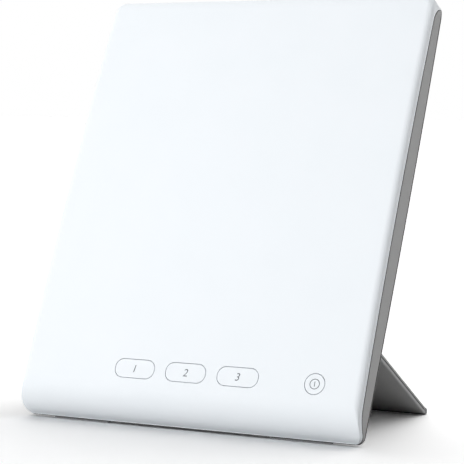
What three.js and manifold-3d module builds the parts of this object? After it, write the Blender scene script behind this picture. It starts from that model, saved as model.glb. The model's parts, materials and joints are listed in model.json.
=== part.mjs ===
// A light therapy lamp: a slim light panel that leans back on its lower edge and on a fold-out flap.
// Millimetres, +X to the viewer's right, +Y backwards, +Z up. The origin is on the table under the middle.
// The panel is built upright and then leaned back: x runs across it, y backwards from the plane of its
// front, and z up it. The flap is built flat: y runs from its hinge to its foot, and z is its thickness.
import * as THREE from "three";
import { mergeVertices } from "three/addons/utils/BufferGeometryUtils.js";
import Module from "manifold-3d";

const wasm = await Module();
wasm.setup();

// Light panel
const WIDTH = 290;
const HEIGHT = 367;
const THICKNESS = 31.3;
const FRONT_CROWN = 4.9;
const BACK_CROWN = 3;
const LEAN = THREE.MathUtils.degToRad(26.9);
const SIDE_ROUND = 5;
const TOP_ROLL = 10;
const BOTTOM_ROLL = 26;
const BACK_LIP = 2.7;
const TOP_CORNER = 6;
const BOTTOM_CORNER = 6;
const SEAM_DEPTH = 8.2;
const SEAM_TURN = 16;
const SEAM_GAP = 0.4;
const SEAM_LAND = 0.5;
const BACK_FILLET = 1.8;
const COVER_WALL = 2.4;
const HOUSING_WALL = 2;
const CLEARANCE = 0.3;
const OVERRUN = 5;
const WELD = 0.5;

// Facets, and the powers that blend one curve into another
const CORNER_STEPS = 5;
const ROUND_STEPS = 4;
const SIDE_ROWS = 8;
const ROD_SIDES = 12;
const LEAD_SIDES = 8;
const LEAD_STEPS = 4;
const ROUND_BLEND = 4;
const SEAM_BLEND = 8;

// Inner frame
const FRAME_WALL = 4;
const FRAME_BOTTOM = 14;
const FRAME_CORNER = 6;
const FRAME_LIP = 2;
const LEDGE_WIDTH = 2;
const LEDGE_THICKNESS = 2;
const BOSS_RADIUS = 5;
const BOSS_FLOOR = 2;

// Optics
const CHASSIS_THICKNESS = 1.5;
const CHASSIS_RISE = 5;
const LED_BARS = 6;
const LED_BOARD_THICKNESS = 1;
const LED_BOARD_HEIGHT = 12;
const LEDS_PER_BAR = 10;
const LED_SIZE = 3.5;
const LED_PROUD = 0.8;
const LED_SLOT_MARGIN = 1;
const TRAY_FLOOR = 1.2;
const TRAY_WALL = 1.2;
const TRAY_MARGIN = 2;
const BAR_END_GAP = 5;
const DIFFUSER_THICKNESS = 1;
const DIFFUSER_GAP = 0.65;

// Keys
const KEY_COUNT = 3;
const KEY_HEIGHT_UP = 36.6;
const KEY_WIDTH = 33;
const KEY_HEIGHT = 16.6;
const KEY_CORNER = 7.6;
const KEY_SPACING = 44.3;
const FIRST_KEY_X = -44.6;
const POWER_KEY_INSET = 37.7;
const POWER_KEY_RADIUS = 8.4;
const KEY_GAP = 0.4;
const KEY_TRAVEL = 0.6;
const KEY_FLANGE = 1.5;
const KEY_FLANGE_THICKNESS = 1.2;
const KEY_STEM_RADIUS = 2.2;
const KEY_STEM_LENGTH = 3.6;
const PLUNGER_RADIUS = 1.1;
const PLUNGER_LENGTH = 2.4;
const SWITCH_SIZE = 6;
const SWITCH_HEIGHT = 3.4;
const CARRIER_THICKNESS = 1.5;
const CARRIER_GAP = 0.8;
const CARRIER_MARGIN = 6;
const CARRIER_POST_RADIUS = 1.8;
const BOARD_THICKNESS = 1.6;

// Electrics
const DRIVER_HALF_WIDTH = 70;
const DRIVER_HEIGHT = 74;
const DRIVER_RISE = 6;
const STANDOFF_HEIGHT = 2;
const STANDOFF_RADIUS = 3;
const STANDOFF_PIN_RADIUS = 1.4;
const STANDOFF_INSET = 6;
const CONNECTOR_WIDTH = 12;
const CONNECTOR_HEIGHT = 8;
const COMPONENT_DEPTH = 4;
const COIL_RADIUS = 5.3;
const COIL_SPACING = 24;
const CAPACITOR_RADIUS = 4;
const CAPACITOR_X = 36;
const CAPACITOR_INSET = 12;
const INLET_INSET = 50;
const INLET_HEIGHT_UP = 34;
const INLET_SIZE = 12.4;
const INLET_LENGTH = 11;
const INLET_WELL_DEPTH = 5.6;
const INLET_FLANGE = 2;
const INLET_FLANGE_SETBACK = 1.2;
const INLET_BORE_RADIUS = 3.1;
const INLET_BORE_DEPTH = 9;
const INLET_PIN_RADIUS = 1;
const INLET_PIN_SETBACK = 0.8;
const INLET_TUBE_WALL = 2;
const LEAD_RADIUS = 1.2;
const LEAD_PLAY = 0.4;
const LEAD_BEND = 6;
const POWER_LEAD_GAP = 7;
const LED_LEAD_RADIUS = 0.6;
const LED_LEAD_HOLE = 2;
const RIBBON_WIDTH = 8;
const RIBBON_THICKNESS = 0.6;
const RIBBON_GAP = 1;

// Stand
const FLAP_THICKNESS = 5.5;
const FLAP_LENGTH = 127.5;
const FLAP_SIDE_GAP = 0.5;
const FLAP_END_GAP = 0.4;
const FLAP_SKIN = 1.4;
const FLAP_RIM = 3;
const FLAP_BAYS = 3;
const FLAP_SPLIT = 0.3;
const HINGE_UP = 73;
const HINGE_INSET = 45;
const POCKET_SIDE_WALL = 2.5;
const POCKET_GAP = 0.55;
const SCOOP_HALF_WIDTH = 28;
const SCOOP_HEIGHT = 13;
const SCOOP_CORNER = 6;
const SCOOP_EXTRA = 1;
const FOOT_STRIP = 4.5;
const FOOT_TONGUE = 4;
const FOOT_TONGUE_THICKNESS = 1.6;
const FOOT_FLAT = 0.3;
const PIN_RADIUS = 1.25;
const PIN_CLEARANCE = 0.1;
const PIN_PROUD = 0.3;
const KNUCKLE_RADIUS = 2.4;
const KNUCKLE_LENGTH = 16;
const EAR_THICKNESS = 2;
const LEAF_THICKNESS = 1;
const LEAF_LENGTH = 20;
const BRACKET_THICKNESS = 1.2;
const BRACKET_HALF_WIDTH = 13;
const BRACKET_BELOW = 4;
const BRACKET_ABOVE = 9;
const NOTCH_REACH = 3.8;
const NOTCH_GAP = 0.6;

// Feet under the panel
const PAD_LENGTH = 50;
const PAD_INSET = 50;
const PAD_THICKNESS = 0.8;
const PAD_GAP = 0.25;
const PAD_FLAT = 0.25;
const PAD_BACK_REACH = 6;
const PAD_FRONT_REACH = 0.3;

// Screws
const SCREW_RADIUS = 1.25;
const SCREW_HEAD_RADIUS = 3;
const SCREW_HEAD_HEIGHT = 2.2;
const SCREW_LENGTH = 8;
const SCREW_PLAY = 0.25;
const SCREW_POCKET_GAP = 4;
const SOCKET_SHARE = 0.9;
const PILLAR_RADIUS = 5.2;
const PILLAR_FLOOR = 2.3;
const WELL_RADIUS = 3.6;
const SMALL_SCREW_RADIUS = 1;
const SMALL_HEAD_RADIUS = 2.1;
const SMALL_HEAD_HEIGHT = 1.1;
const BRACKET_SCREW_LENGTH = 3;
const BRACKET_SCREW_SPACING = 10;
const BRACKET_SCREW_UP = 5;
const STAND_SCREW_LENGTH = 2.6;
const STAND_SCREW_X = 60;
const STAND_SCREW_INSET = 28;

// Materials
function finish(color, roughness, metalness = 0) {
  return new THREE.MeshStandardMaterial({ color, roughness, metalness });
}
const OPAL = finish(0xf2f5f7, 0.25);
const GREY_SHELL = finish(0x979797, 0.6);
const WHITE_PLASTIC = finish(0xe8e8e4, 0.5);
const DIFFUSER = finish(0xf4f4f0, 0.7);
const ALUMINIUM = finish(0xb4b7ba, 0.4, 1);
const STEEL = finish(0x8b8d90, 0.35, 1);
const BLACK_PLASTIC = finish(0x1d1d1f, 0.5);
const BOARD_GREEN = finish(0x1f5d3a, 0.5);
const BOARD_WHITE = finish(0xeeeeea, 0.45);
const RUBBER = finish(0x5a5a5c, 0.85);
const LEAD_SKIN = finish(0x2a2a2c, 0.6);

// A closed geometry as a solid, and a solid as a mesh in a group
function solid(geometry) {
  const bare = geometry.clone();
  bare.deleteAttribute("normal");
  bare.deleteAttribute("uv");
  const merged = mergeVertices(bare);
  return new wasm.Manifold(new wasm.Mesh({
    numProp: 3,
    vertProperties: merged.attributes.position.array,
    triVerts: new Uint32Array(merged.index.array),
  }));
}

function geometryOf(body) {
  const made = body.getMesh();
  const geometry = new THREE.BufferGeometry();
  geometry.setAttribute("position", new THREE.BufferAttribute(made.vertProperties, made.numProp));
  geometry.setIndex(new THREE.BufferAttribute(made.triVerts, 1));
  geometry.computeVertexNormals();
  return geometry;
}

function place(group, name, body, material) {
  const mesh = new THREE.Mesh(geometryOf(body), material);
  mesh.name = name;
  group.add(mesh);
  return mesh;
}

const unite = (bodies) => bodies.reduce((whole, body) => whole.add(body));
const carve = (body, cuts) => cuts.reduce((left, cut) => left.subtract(cut), body);
const upTo = (count) => [...Array(count).keys()];

// Boxes by their low and high corners, and prisms and rods that run backwards from one depth to another
function block(low, high) {
  const size = high.map((value, axis) => value - low[axis]);
  const middle = high.map((value, axis) => (value + low[axis]) / 2);
  return solid(new THREE.BoxGeometry(...size).translate(...middle));
}

function prism(shape, from, to) {
  const options = { depth: to - from, bevelEnabled: false, curveSegments: ROD_SIDES / 2 };
  return solid(new THREE.ExtrudeGeometry(shape, options).rotateX(Math.PI / 2).translate(0, to, 0));
}

function circle(x, z, radius) {
  return new THREE.Shape().absarc(x, z, radius, 0, 2 * Math.PI);
}

const rod = (x, z, radius, from, to) => prism(circle(x, z, radius), from, to);

function roundedShape(halfWidth, bottom, top, corner, middle = 0) {
  const centres = [[1, bottom + corner], [1, top - corner], [-1, top - corner], [-1, bottom + corner]];
  const points = centres.flatMap(([side, z], quarter) => upTo(CORNER_STEPS + 1).map((i) => {
    const turn = (quarter - 1 + i / CORNER_STEPS) * Math.PI / 2;
    const x = middle + side * (halfWidth - corner) + corner * Math.cos(turn);
    return new THREE.Vector2(x, z + corner * Math.sin(turn));
  }));
  return new THREE.Shape(points);
}

// Prisms and rods that run across the lamp, and rods through the flap
function crossPrism(outline, from, to) {
  const shape = new THREE.Shape(outline.map(([y, z]) => new THREE.Vector2(-z, y)));
  const geometry = new THREE.ExtrudeGeometry(shape, { depth: to - from, bevelEnabled: false });
  return solid(geometry.rotateY(Math.PI / 2).translate(from, 0, 0));
}

function crossRod(y, z, radius, from, to) {
  const geometry = new THREE.CylinderGeometry(radius, radius, to - from, ROD_SIDES);
  return solid(geometry.rotateZ(Math.PI / 2).translate((from + to) / 2, y, z));
}

function throughRod(x, y, radius, from, to) {
  const geometry = new THREE.CylinderGeometry(radius, radius, to - from, ROD_SIDES);
  return solid(geometry.rotateX(Math.PI / 2).translate(x, y, (from + to) / 2));
}

function lead(points, radius) {
  const places = points.map((point) => new THREE.Vector3(...point));
  const extrudePath = new THREE.CatmullRomCurve3(places, false, "centripetal");
  const section = new THREE.Shape().absarc(0, 0, radius, 0, 2 * Math.PI);
  const options = { extrudePath, steps: points.length * LEAD_STEPS, curveSegments: LEAD_SIDES / 2 };
  return solid(new THREE.ExtrudeGeometry(section, options));
}

// The surfaces of the panel, as depths behind the plane of its front
const crown = (z) => FRONT_CROWN * (2 * z / HEIGHT - 1) ** 2;
const back = (z) => THICKNESS - BACK_CROWN * (2 * z / HEIGHT - 1) ** 2;
const roll = (x, radius) => radius - Math.sqrt(radius ** 2 - Math.max(0, radius - Math.max(0, x)) ** 2);
const LIP_FRONT = back(0) - BACK_LIP;
const ROLL_DROP = LIP_FRONT - crown(0);
const ROLL_START = BOTTOM_ROLL - Math.sqrt(BOTTOM_ROLL ** 2 - (BOTTOM_ROLL - ROLL_DROP) ** 2);
const bottomRoll = (z, wall) => roll(z - wall + ROLL_START, BOTTOM_ROLL - wall);
const topRoll = (z, wall) => roll(HEIGHT - z - wall, TOP_ROLL - wall);

// How deep the front lies at height z where its edge is rounded back by `edge`, or the same inside the wall
function frontDepth(z, edge, wall) {
  const rounds = [edge, bottomRoll(z, wall), topRoll(z, wall)].map((depth) => depth ** ROUND_BLEND);
  return crown(z) + wall + (rounds[0] + rounds[1] + rounds[2]) ** (1 / ROUND_BLEND);
}

// The seam follows the front down the sides, and eases back into the lip along the bottom and the top
function seamDepth(z) {
  const turn = roll(HEIGHT - TOP_CORNER - z, SEAM_TURN);
  const along = crown(z) + bottomRoll(z, 0) + turn + SEAM_DEPTH;
  return (along ** -SEAM_BLEND + LIP_FRONT ** -SEAM_BLEND) ** (-1 / SEAM_BLEND);
}

// Heights of the points up a side, close together where the front rolls back and where the seam turns
const TURN_START = HEIGHT - TOP_CORNER - SEAM_TURN;
const quarterTurns = upTo(ROUND_STEPS + 1).map((i) => (i / ROUND_STEPS) * Math.PI / 2);
const sideHeights = [
  ...quarterTurns.map((turn) => BOTTOM_ROLL * (1 - Math.cos(turn))),
  ...upTo(SIDE_ROWS - 1).map((i) => BOTTOM_ROLL + ((i + 1) / SIDE_ROWS) * (TURN_START - BOTTOM_ROLL)),
  ...quarterTurns.map((turn) => TURN_START + SEAM_TURN * Math.sin(turn)),
];

// The right half of an outline from the bottom up, with the way out at each point
function halfOutline(halfWidth, bottom, top, bottomCorner, topCorner) {
  const arc = (centreZ, corner, start) => upTo(CORNER_STEPS + 1).map((i) => {
    const turn = start + (i / CORNER_STEPS) * Math.PI / 2;
    const [outX, outZ] = [Math.cos(turn), Math.sin(turn)];
    return { x: halfWidth - corner + corner * outX, z: centreZ + corner * outZ, outX, outZ };
  });
  const between = sideHeights.filter((z) => z > bottom + bottomCorner + WELD && z < top - topCorner - WELD);
  return [
    ...arc(bottom + bottomCorner, bottomCorner, -Math.PI / 2),
    ...between.map((z) => ({ x: halfWidth, z, outX: 1, outZ: 0 })),
    ...arc(top - topCorner, topCorner, 0),
  ];
}

// One ring round an outline: each point goes in by the inset and lies at depth(z, point)
function ring(outline, inset, depth) {
  const half = outline.map((point) => {
    const z = point.z - point.outZ * inset;
    return [point.x - point.outX * inset, depth(z, point), z];
  });
  return [...half, ...half.map(([x, y, z]) => [-x, y, z]).reverse()];
}

// A body between rings. Its two ends are closed straight across, or the last ring joins the first.
function loft(rings, closedUp) {
  const count = rings[0].length;
  const faces = [];
  const joined = closedUp ? rings.length : rings.length - 1;
  for (let k = 0; k < joined; k++) {
    const near = k * count;
    const far = ((k + 1) % rings.length) * count;
    for (let i = 0; i < count; i++) {
      const next = (i + 1) % count;
      faces.push(near + i, near + next, far + next, near + i, far + next, far + i);
    }
  }
  if (!closedUp) {
    const last = (rings.length - 1) * count;
    for (let i = 0; i < count / 2 - 1; i++) {
      const mirror = count - 1 - i;
      faces.push(i, mirror - 1, i + 1, i, mirror, mirror - 1);
      faces.push(last + i, last + i + 1, last + mirror - 1, last + i, last + mirror - 1, last + mirror);
    }
  }
  const geometry = new THREE.BufferGeometry();
  geometry.setAttribute("position", new THREE.Float32BufferAttribute(rings.flat(2), 3));
  geometry.setIndex(faces);
  return solid(geometry);
}

const panelOutline = halfOutline(WIDTH / 2, 0, HEIGHT, BOTTOM_CORNER, TOP_CORNER);

// Rings over the rounded edge of the front, or of the inside of its wall, from the flat out to the side
function frontRings(wall) {
  return quarterTurns.map((turn) => {
    const inset = wall + (SIDE_ROUND - wall) * (1 - Math.sin(turn));
    const edge = (SIDE_ROUND - wall) * (1 - Math.cos(turn));
    return ring(panelOutline, inset, (z, point) => (
      Math.min(frontDepth(z, edge, wall), seamDepth(point.z) - SEAM_LAND)));
  });
}

function coverShell() {
  const rim = (wall) => ring(panelOutline, wall, (z, point) => seamDepth(point.z));
  return loft([...frontRings(COVER_WALL), rim(COVER_WALL), rim(0), ...frontRings(0).reverse()], false);
}

// The hinge line of the flap, its pocket and the slope of the flap
const AXIS_DEPTH = back(HINGE_UP) - FLAP_THICKNESS / 2;
const POCKET_DEPTH = AXIS_DEPTH - FLAP_THICKNESS / 2 - POCKET_GAP;
const POCKET_FLOOR_FRONT = POCKET_DEPTH - HOUSING_WALL;
const POCKET_HALF_WIDTH = WIDTH / 2 - POCKET_SIDE_WALL;
const POCKET_BOTTOM = HINGE_UP - FLAP_THICKNESS / 2 - FLAP_END_GAP;
const POCKET_TOP = HINGE_UP + FLAP_LENGTH + FLAP_END_GAP;
const POCKET_WALL_TOP = POCKET_TOP + HOUSING_WALL;
const SCOOP_DEPTH = POCKET_DEPTH - SCOOP_EXTRA;
const SCOOP_TOP = POCKET_TOP + SCOOP_HEIGHT;
const FLAP_HALF_WIDTH = POCKET_HALF_WIDTH - FLAP_SIDE_GAP;
const HINGE_X = WIDTH / 2 - HINGE_INSET;
const PAD_RADIUS = BACK_FILLET + PAD_GAP + PAD_THICKNESS;
const PAD_CENTRE_DEPTH = back(0) - BACK_FILLET;
const PAD_DROP = PAD_RADIUS - PAD_FLAT - BACK_FILLET * Math.cos(LEAN);
const PANEL_RISE = PAD_CENTRE_DEPTH * Math.sin(LEAN) + PAD_DROP;
const AXIS_RISE = PANEL_RISE + HINGE_UP * Math.cos(LEAN) - AXIS_DEPTH * Math.sin(LEAN);
const FOOT_RADIUS = FLAP_THICKNESS / 2;
const FOOT_CENTRE = FLAP_LENGTH - FOOT_RADIUS;
const FLAP_SLOPE = Math.asin((AXIS_RISE - FOOT_RADIUS + FOOT_FLAT) / FOOT_CENTRE);
const FLAP_END = FLAP_LENGTH - FOOT_STRIP - CLEARANCE;
const STAND_HEAD_SEAT = SMALL_HEAD_HEIGHT + CLEARANCE - FLAP_THICKNESS / 2;

// Keys: oblong ones in a row and the round on/off key
const keys = upTo(KEY_COUNT).map((i) => ({
  name: `key_${i + 1}`,
  x: FIRST_KEY_X + i * KEY_SPACING,
  shape(grow) {
    const half = KEY_HEIGHT / 2 + grow;
    const [bottom, top] = [KEY_HEIGHT_UP - half, KEY_HEIGHT_UP + half];
    return roundedShape(KEY_WIDTH / 2 + grow, bottom, top, KEY_CORNER + grow, this.x);
  },
}));
keys.push({
  name: "power_key",
  x: WIDTH / 2 - POWER_KEY_INSET,
  shape(grow) {
    return circle(this.x, KEY_HEIGHT_UP, POWER_KEY_RADIUS + grow);
  },
});

const KEYS_LEFT = keys[0].x - KEY_WIDTH / 2;
const KEYS_RIGHT = keys.at(-1).x + POWER_KEY_RADIUS;
const KEYS_BOTTOM = KEY_HEIGHT_UP - KEY_HEIGHT / 2;
const KEYS_TOP = KEY_HEIGHT_UP + KEY_HEIGHT / 2;
const FLANGE_FRONT = frontDepth(KEYS_BOTTOM - KEY_FLANGE, 0, COVER_WALL) + CLEARANCE;
const FLANGE_REAR = FLANGE_FRONT + KEY_FLANGE_THICKNESS;
const STEM_END = FLANGE_REAR + KEY_STEM_LENGTH;
const PLUNGER_FRONT = STEM_END + CLEARANCE;
const PLUNGER_REAR = PLUNGER_FRONT + PLUNGER_LENGTH;
const SWITCH_FRONT = STEM_END + KEY_TRAVEL + CLEARANCE;
const SWITCH_REAR = SWITCH_FRONT + SWITCH_HEIGHT;
const KEY_BOARD_FRONT = SWITCH_REAR + CLEARANCE;
const KEY_BOARD_REAR = KEY_BOARD_FRONT + BOARD_THICKNESS;
const CARRIER_FRONT = FLANGE_REAR + KEY_TRAVEL + CARRIER_GAP;
const CARRIER_REAR = CARRIER_FRONT + CARRIER_THICKNESS;
const CARRIER_TOP = KEYS_TOP + CARRIER_MARGIN;

// The chassis plate keeps room for the leads in front of the pocket's floor, and the frame's ledge carries it
const CHASSIS_REAR = POCKET_FLOOR_FRONT - 2 * LEAD_RADIUS - LEAD_PLAY;
const CHASSIS_FRONT = CHASSIS_REAR - CHASSIS_THICKNESS;
const LEDGE_REAR = CHASSIS_FRONT - CLEARANCE;
const LEDGE_FRONT = LEDGE_REAR - LEDGE_THICKNESS;
const FRAME_REAR = LEDGE_REAR + FRAME_LIP;
const FRAME_HALF_WIDTH = WIDTH / 2 - COVER_WALL - CLEARANCE;
const FRAME_TOP = HEIGHT - COVER_WALL - CLEARANCE;
const OPENING_HALF_WIDTH = FRAME_HALF_WIDTH - FRAME_WALL;
const OPENING_TOP = FRAME_TOP - FRAME_WALL;
const LEDGE_BOTTOM = FRAME_BOTTOM + FRAME_WALL + CLEARANCE;
const CHASSIS_BOTTOM = CARRIER_TOP + CHASSIS_RISE;
const CHASSIS_TOP = OPENING_TOP - CLEARANCE;
const LEAD_CHANNEL = (CHASSIS_REAR + POCKET_FLOOR_FRONT) / 2;

// Where the housing screws sit: their bosses run into the frame's walls, and the middle ones clear the pocket
const SCREW_X = OPENING_HALF_WIDTH - BOSS_RADIUS + WELD;
const MIDDLE_SCREW_UP = POCKET_WALL_TOP + PILLAR_RADIUS + SCREW_POCKET_GAP;
const LOW_SCREW_UP = FRAME_BOTTOM + FRAME_WALL + BOSS_RADIUS - WELD;
const TOP_SCREW_UP = OPENING_TOP - BOSS_RADIUS + WELD;
const screwHeights = [LOW_SCREW_UP, MIDDLE_SCREW_UP, TOP_SCREW_UP];
const screwPlaces = screwHeights.flatMap((z) => [-SCREW_X, SCREW_X].map((x) => ({ x, z })));
const PILLAR_FRONT = FRAME_REAR + CLEARANCE;
const SCREW_SEAT = PILLAR_FRONT + PILLAR_FLOOR + CLEARANCE;
const SCREW_HOLE_END = SCREW_SEAT - SCREW_LENGTH - CLEARANCE;
const BOSS_FRONT = SCREW_HOLE_END - BOSS_FLOOR;

// Optics, each piece in front of the next
const TRAY_HALF_WIDTH = SCREW_X - BOSS_RADIUS - CLEARANCE;
const TRAY_BOTTOM = CHASSIS_BOTTOM + TRAY_MARGIN;
const TRAY_TOP = OPENING_TOP - LEDGE_WIDTH - TRAY_MARGIN;
const LED_BOARD_REAR = CHASSIS_FRONT - CLEARANCE;
const LED_BOARD_FRONT = LED_BOARD_REAR - LED_BOARD_THICKNESS;
const TRAY_REAR = LED_BOARD_FRONT - CLEARANCE;
const DIFFUSER_FRONT = frontDepth(TRAY_TOP, 0, COVER_WALL) + DIFFUSER_GAP;
const DIFFUSER_REAR = DIFFUSER_FRONT + DIFFUSER_THICKNESS;
const TRAY_FRONT = DIFFUSER_REAR + CLEARANCE;
const BAR_HALF_WIDTH = TRAY_HALF_WIDTH - BAR_END_GAP;
const BAR_PITCH = (TRAY_TOP - TRAY_BOTTOM) / LED_BARS;
const barHeights = upTo(LED_BARS).map((i) => TRAY_BOTTOM + (i + 0.5) * BAR_PITCH);

// Driver board
const DRIVER_FRONT = CHASSIS_REAR + STANDOFF_HEIGHT + CLEARANCE;
const DRIVER_REAR = DRIVER_FRONT + BOARD_THICKNESS;
const DRIVER_BOTTOM = SCOOP_TOP + HOUSING_WALL + DRIVER_RISE;
const DRIVER_TOP = DRIVER_BOTTOM + DRIVER_HEIGHT;
const standoffHeights = [DRIVER_BOTTOM + STANDOFF_INSET, DRIVER_TOP - STANDOFF_INSET];
const STANDOFF_X = DRIVER_HALF_WIDTH - STANDOFF_INSET;
const standoffPlaces = [-STANDOFF_X, STANDOFF_X].flatMap((x) => standoffHeights.map((z) => ({ x, z })));
const POWER_CONNECTOR_X = CONNECTOR_WIDTH - DRIVER_HALF_WIDTH;
const RIBBON_X = SCOOP_HALF_WIDTH + HOUSING_WALL + RIBBON_GAP + RIBBON_WIDTH / 2;
const CONNECTOR_MIDDLE = DRIVER_REAR + COMPONENT_DEPTH / 2;

// Inlet
const INLET_X = INLET_INSET - WIDTH / 2;
const INLET_MOUTH = back(INLET_HEIGHT_UP) - INLET_WELL_DEPTH;
const INLET_FRONT = INLET_MOUTH - INLET_LENGTH;
const INLET_FLANGE_REAR = INLET_MOUTH - INLET_FLANGE_SETBACK;
const INLET_HALF = INLET_SIZE / 2;
const WELL_HALF = INLET_HALF + CLEARANCE;

// Leads
const POWER_LEAD_X = BRACKET_HALF_WIDTH + POWER_LEAD_GAP - HINGE_X;
const LED_LEAD_X = -BAR_HALF_WIDTH - CLEARANCE - LED_LEAD_RADIUS;
const LED_LEAD_DEPTH = (TRAY_REAR + CHASSIS_FRONT) / 2;
const LED_LEAD_HEIGHT = (DRIVER_BOTTOM + DRIVER_TOP) / 2;

// Small screws of the hinge brackets and of the flap
const bracketScrewPlaces = [-HINGE_X, HINGE_X].flatMap((x) => [-1, 1].map((end) => (
  { x: x + end * BRACKET_SCREW_SPACING / 2, z: HINGE_UP + BRACKET_SCREW_UP })));
const standScrewHeights = [STAND_SCREW_INSET, FLAP_LENGTH - STAND_SCREW_INSET];
const standScrewPlaces = [-STAND_SCREW_X, STAND_SCREW_X].flatMap((x) => (
  standScrewHeights.map((y) => ({ x, y }))));

// The ends of the two ears of a hinge bracket, from left to right
function earSpans(x) {
  const near = KNUCKLE_LENGTH / 2 + CLEARANCE;
  const far = near + EAR_THICKNESS;
  return [[x - far, x - near], [x + near, x + far]];
}

function frontCover(shell) {
  return carve(shell, keys.map((key) => prism(key.shape(KEY_GAP), -OVERRUN, FLANGE_FRONT)));
}

function keyCap(key, shell) {
  const cap = shell.intersect(prism(key.shape(0), -OVERRUN, FLANGE_FRONT + OVERRUN));
  const neckFront = crown(KEY_HEIGHT_UP) + COVER_WALL - WELD;
  const neck = prism(key.shape(-KEY_FLANGE), neckFront, FLANGE_REAR - WELD);
  const flange = prism(key.shape(KEY_FLANGE), FLANGE_FRONT, FLANGE_REAR);
  const stem = rod(key.x, KEY_HEIGHT_UP, KEY_STEM_RADIUS, FLANGE_REAR - WELD, STEM_END);
  return unite([cap, neck, flange, stem]);
}

function keySwitch(key) {
  const half = SWITCH_SIZE / 2;
  const low = [key.x - half, SWITCH_FRONT, KEY_HEIGHT_UP - half];
  const high = [key.x + half, SWITCH_REAR, KEY_HEIGHT_UP + half];
  const boreEnd = PLUNGER_REAR + KEY_TRAVEL + CLEARANCE;
  const bore = rod(key.x, KEY_HEIGHT_UP, PLUNGER_RADIUS + CLEARANCE, SWITCH_FRONT - WELD, boreEnd);
  return block(low, high).subtract(bore);
}

// The plate that guides the key stems stands on the frame's ledge and carries the key board on its posts
function keyCarrier() {
  const left = KEYS_LEFT - CARRIER_MARGIN;
  const right = KEYS_RIGHT + CARRIER_MARGIN;
  const low = LEDGE_BOTTOM + LEDGE_WIDTH;
  const plate = block([left, CARRIER_FRONT, low], [right, CARRIER_REAR, CARRIER_TOP]);
  const foot = block([left, CARRIER_FRONT, LEDGE_BOTTOM],
    [right, LEDGE_FRONT - CLEARANCE, low + CARRIER_THICKNESS]);
  const posts = keys.slice(1).map((key, i) => {
    const middle = (key.x + keys[i].x) / 2;
    const end = KEY_BOARD_FRONT - CLEARANCE;
    return rod(middle, KEY_HEIGHT_UP - SWITCH_SIZE, CARRIER_POST_RADIUS, CARRIER_REAR - WELD, end);
  });
  const guides = keys.map((key) => {
    const radius = KEY_STEM_RADIUS + CLEARANCE;
    return rod(key.x, KEY_HEIGHT_UP, radius, CARRIER_FRONT - WELD, CARRIER_REAR + WELD);
  });
  return carve(unite([plate, foot, ...posts]), guides);
}

function keyBoard() {
  return block([KEYS_LEFT, KEY_BOARD_FRONT, KEYS_BOTTOM - CARRIER_THICKNESS],
    [KEYS_RIGHT, KEY_BOARD_REAR, KEYS_TOP]);
}

// The frame just inside the cover's wall, with a ledge all round and a boss for each housing screw
function innerFrame() {
  const outline = halfOutline(FRAME_HALF_WIDTH, FRAME_BOTTOM, FRAME_TOP, FRAME_CORNER, FRAME_CORNER);
  const at = (inset, depth) => ring(outline, inset, depth);
  const front = (z) => frontDepth(z, SIDE_ROUND - COVER_WALL, COVER_WALL) + CLEARANCE;
  const rear = () => FRAME_REAR;
  const band = loft([at(FRAME_WALL, front), at(FRAME_WALL, rear), at(0, rear), at(0, front)], true);
  const ledgeFront = () => LEDGE_FRONT;
  const ledgeRear = () => LEDGE_REAR;
  const lip = FRAME_WALL + LEDGE_WIDTH;
  const root = FRAME_WALL - WELD;
  const ledge = loft([at(lip, ledgeFront), at(lip, ledgeRear), at(root, ledgeRear),
    at(root, ledgeFront)], true);
  const bosses = screwPlaces.map(({ x, z }) => rod(x, z, BOSS_RADIUS, BOSS_FRONT, FRAME_REAR));
  const holes = screwPlaces.map(({ x, z }) => (
    rod(x, z, SCREW_RADIUS + SCREW_PLAY, SCREW_HOLE_END, FRAME_REAR + WELD)));
  return carve(unite([band, ledge, ...bosses]), holes);
}

function chassisPlate() {
  const [front, rear] = [CHASSIS_FRONT - WELD, CHASSIS_REAR + WELD];
  const corner = FRAME_CORNER - FRAME_WALL;
  const shape = roundedShape(OPENING_HALF_WIDTH - CLEARANCE, CHASSIS_BOTTOM, CHASSIS_TOP, corner);
  const notches = screwPlaces.map(({ x, z }) => rod(x, z, BOSS_RADIUS + 2 * CLEARANCE, front, rear));
  const leadHole = rod(LED_LEAD_X, LED_LEAD_HEIGHT, LED_LEAD_HOLE, front, rear);
  const plate = carve(prism(shape, CHASSIS_FRONT, CHASSIS_REAR), [...notches, leadHole]);
  const standoffs = standoffPlaces.map(({ x, z }) => (
    rod(x, z, STANDOFF_RADIUS, CHASSIS_REAR - WELD, DRIVER_FRONT - CLEARANCE)));
  const pins = standoffPlaces.map(({ x, z }) => (
    rod(x, z, STANDOFF_PIN_RADIUS, CHASSIS_REAR, DRIVER_REAR + WELD)));
  return unite([plate, ...standoffs, ...pins]);
}

function reflectorTray() {
  const inner = TRAY_HALF_WIDTH - TRAY_WALL;
  const floor = TRAY_REAR - TRAY_FLOOR;
  const outside = block([-TRAY_HALF_WIDTH, TRAY_FRONT, TRAY_BOTTOM], [TRAY_HALF_WIDTH, TRAY_REAR, TRAY_TOP]);
  const hollow = block([-inner, TRAY_FRONT - WELD, TRAY_BOTTOM + TRAY_WALL],
    [inner, floor, TRAY_TOP - TRAY_WALL]);
  const half = LED_SIZE / 2 + LED_SLOT_MARGIN;
  const slots = barHeights.map((z) => (
    block([-BAR_HALF_WIDTH, floor - WELD, z - half], [BAR_HALF_WIDTH, TRAY_REAR + WELD, z + half])));
  return carve(outside, [hollow, ...slots]);
}

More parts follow.
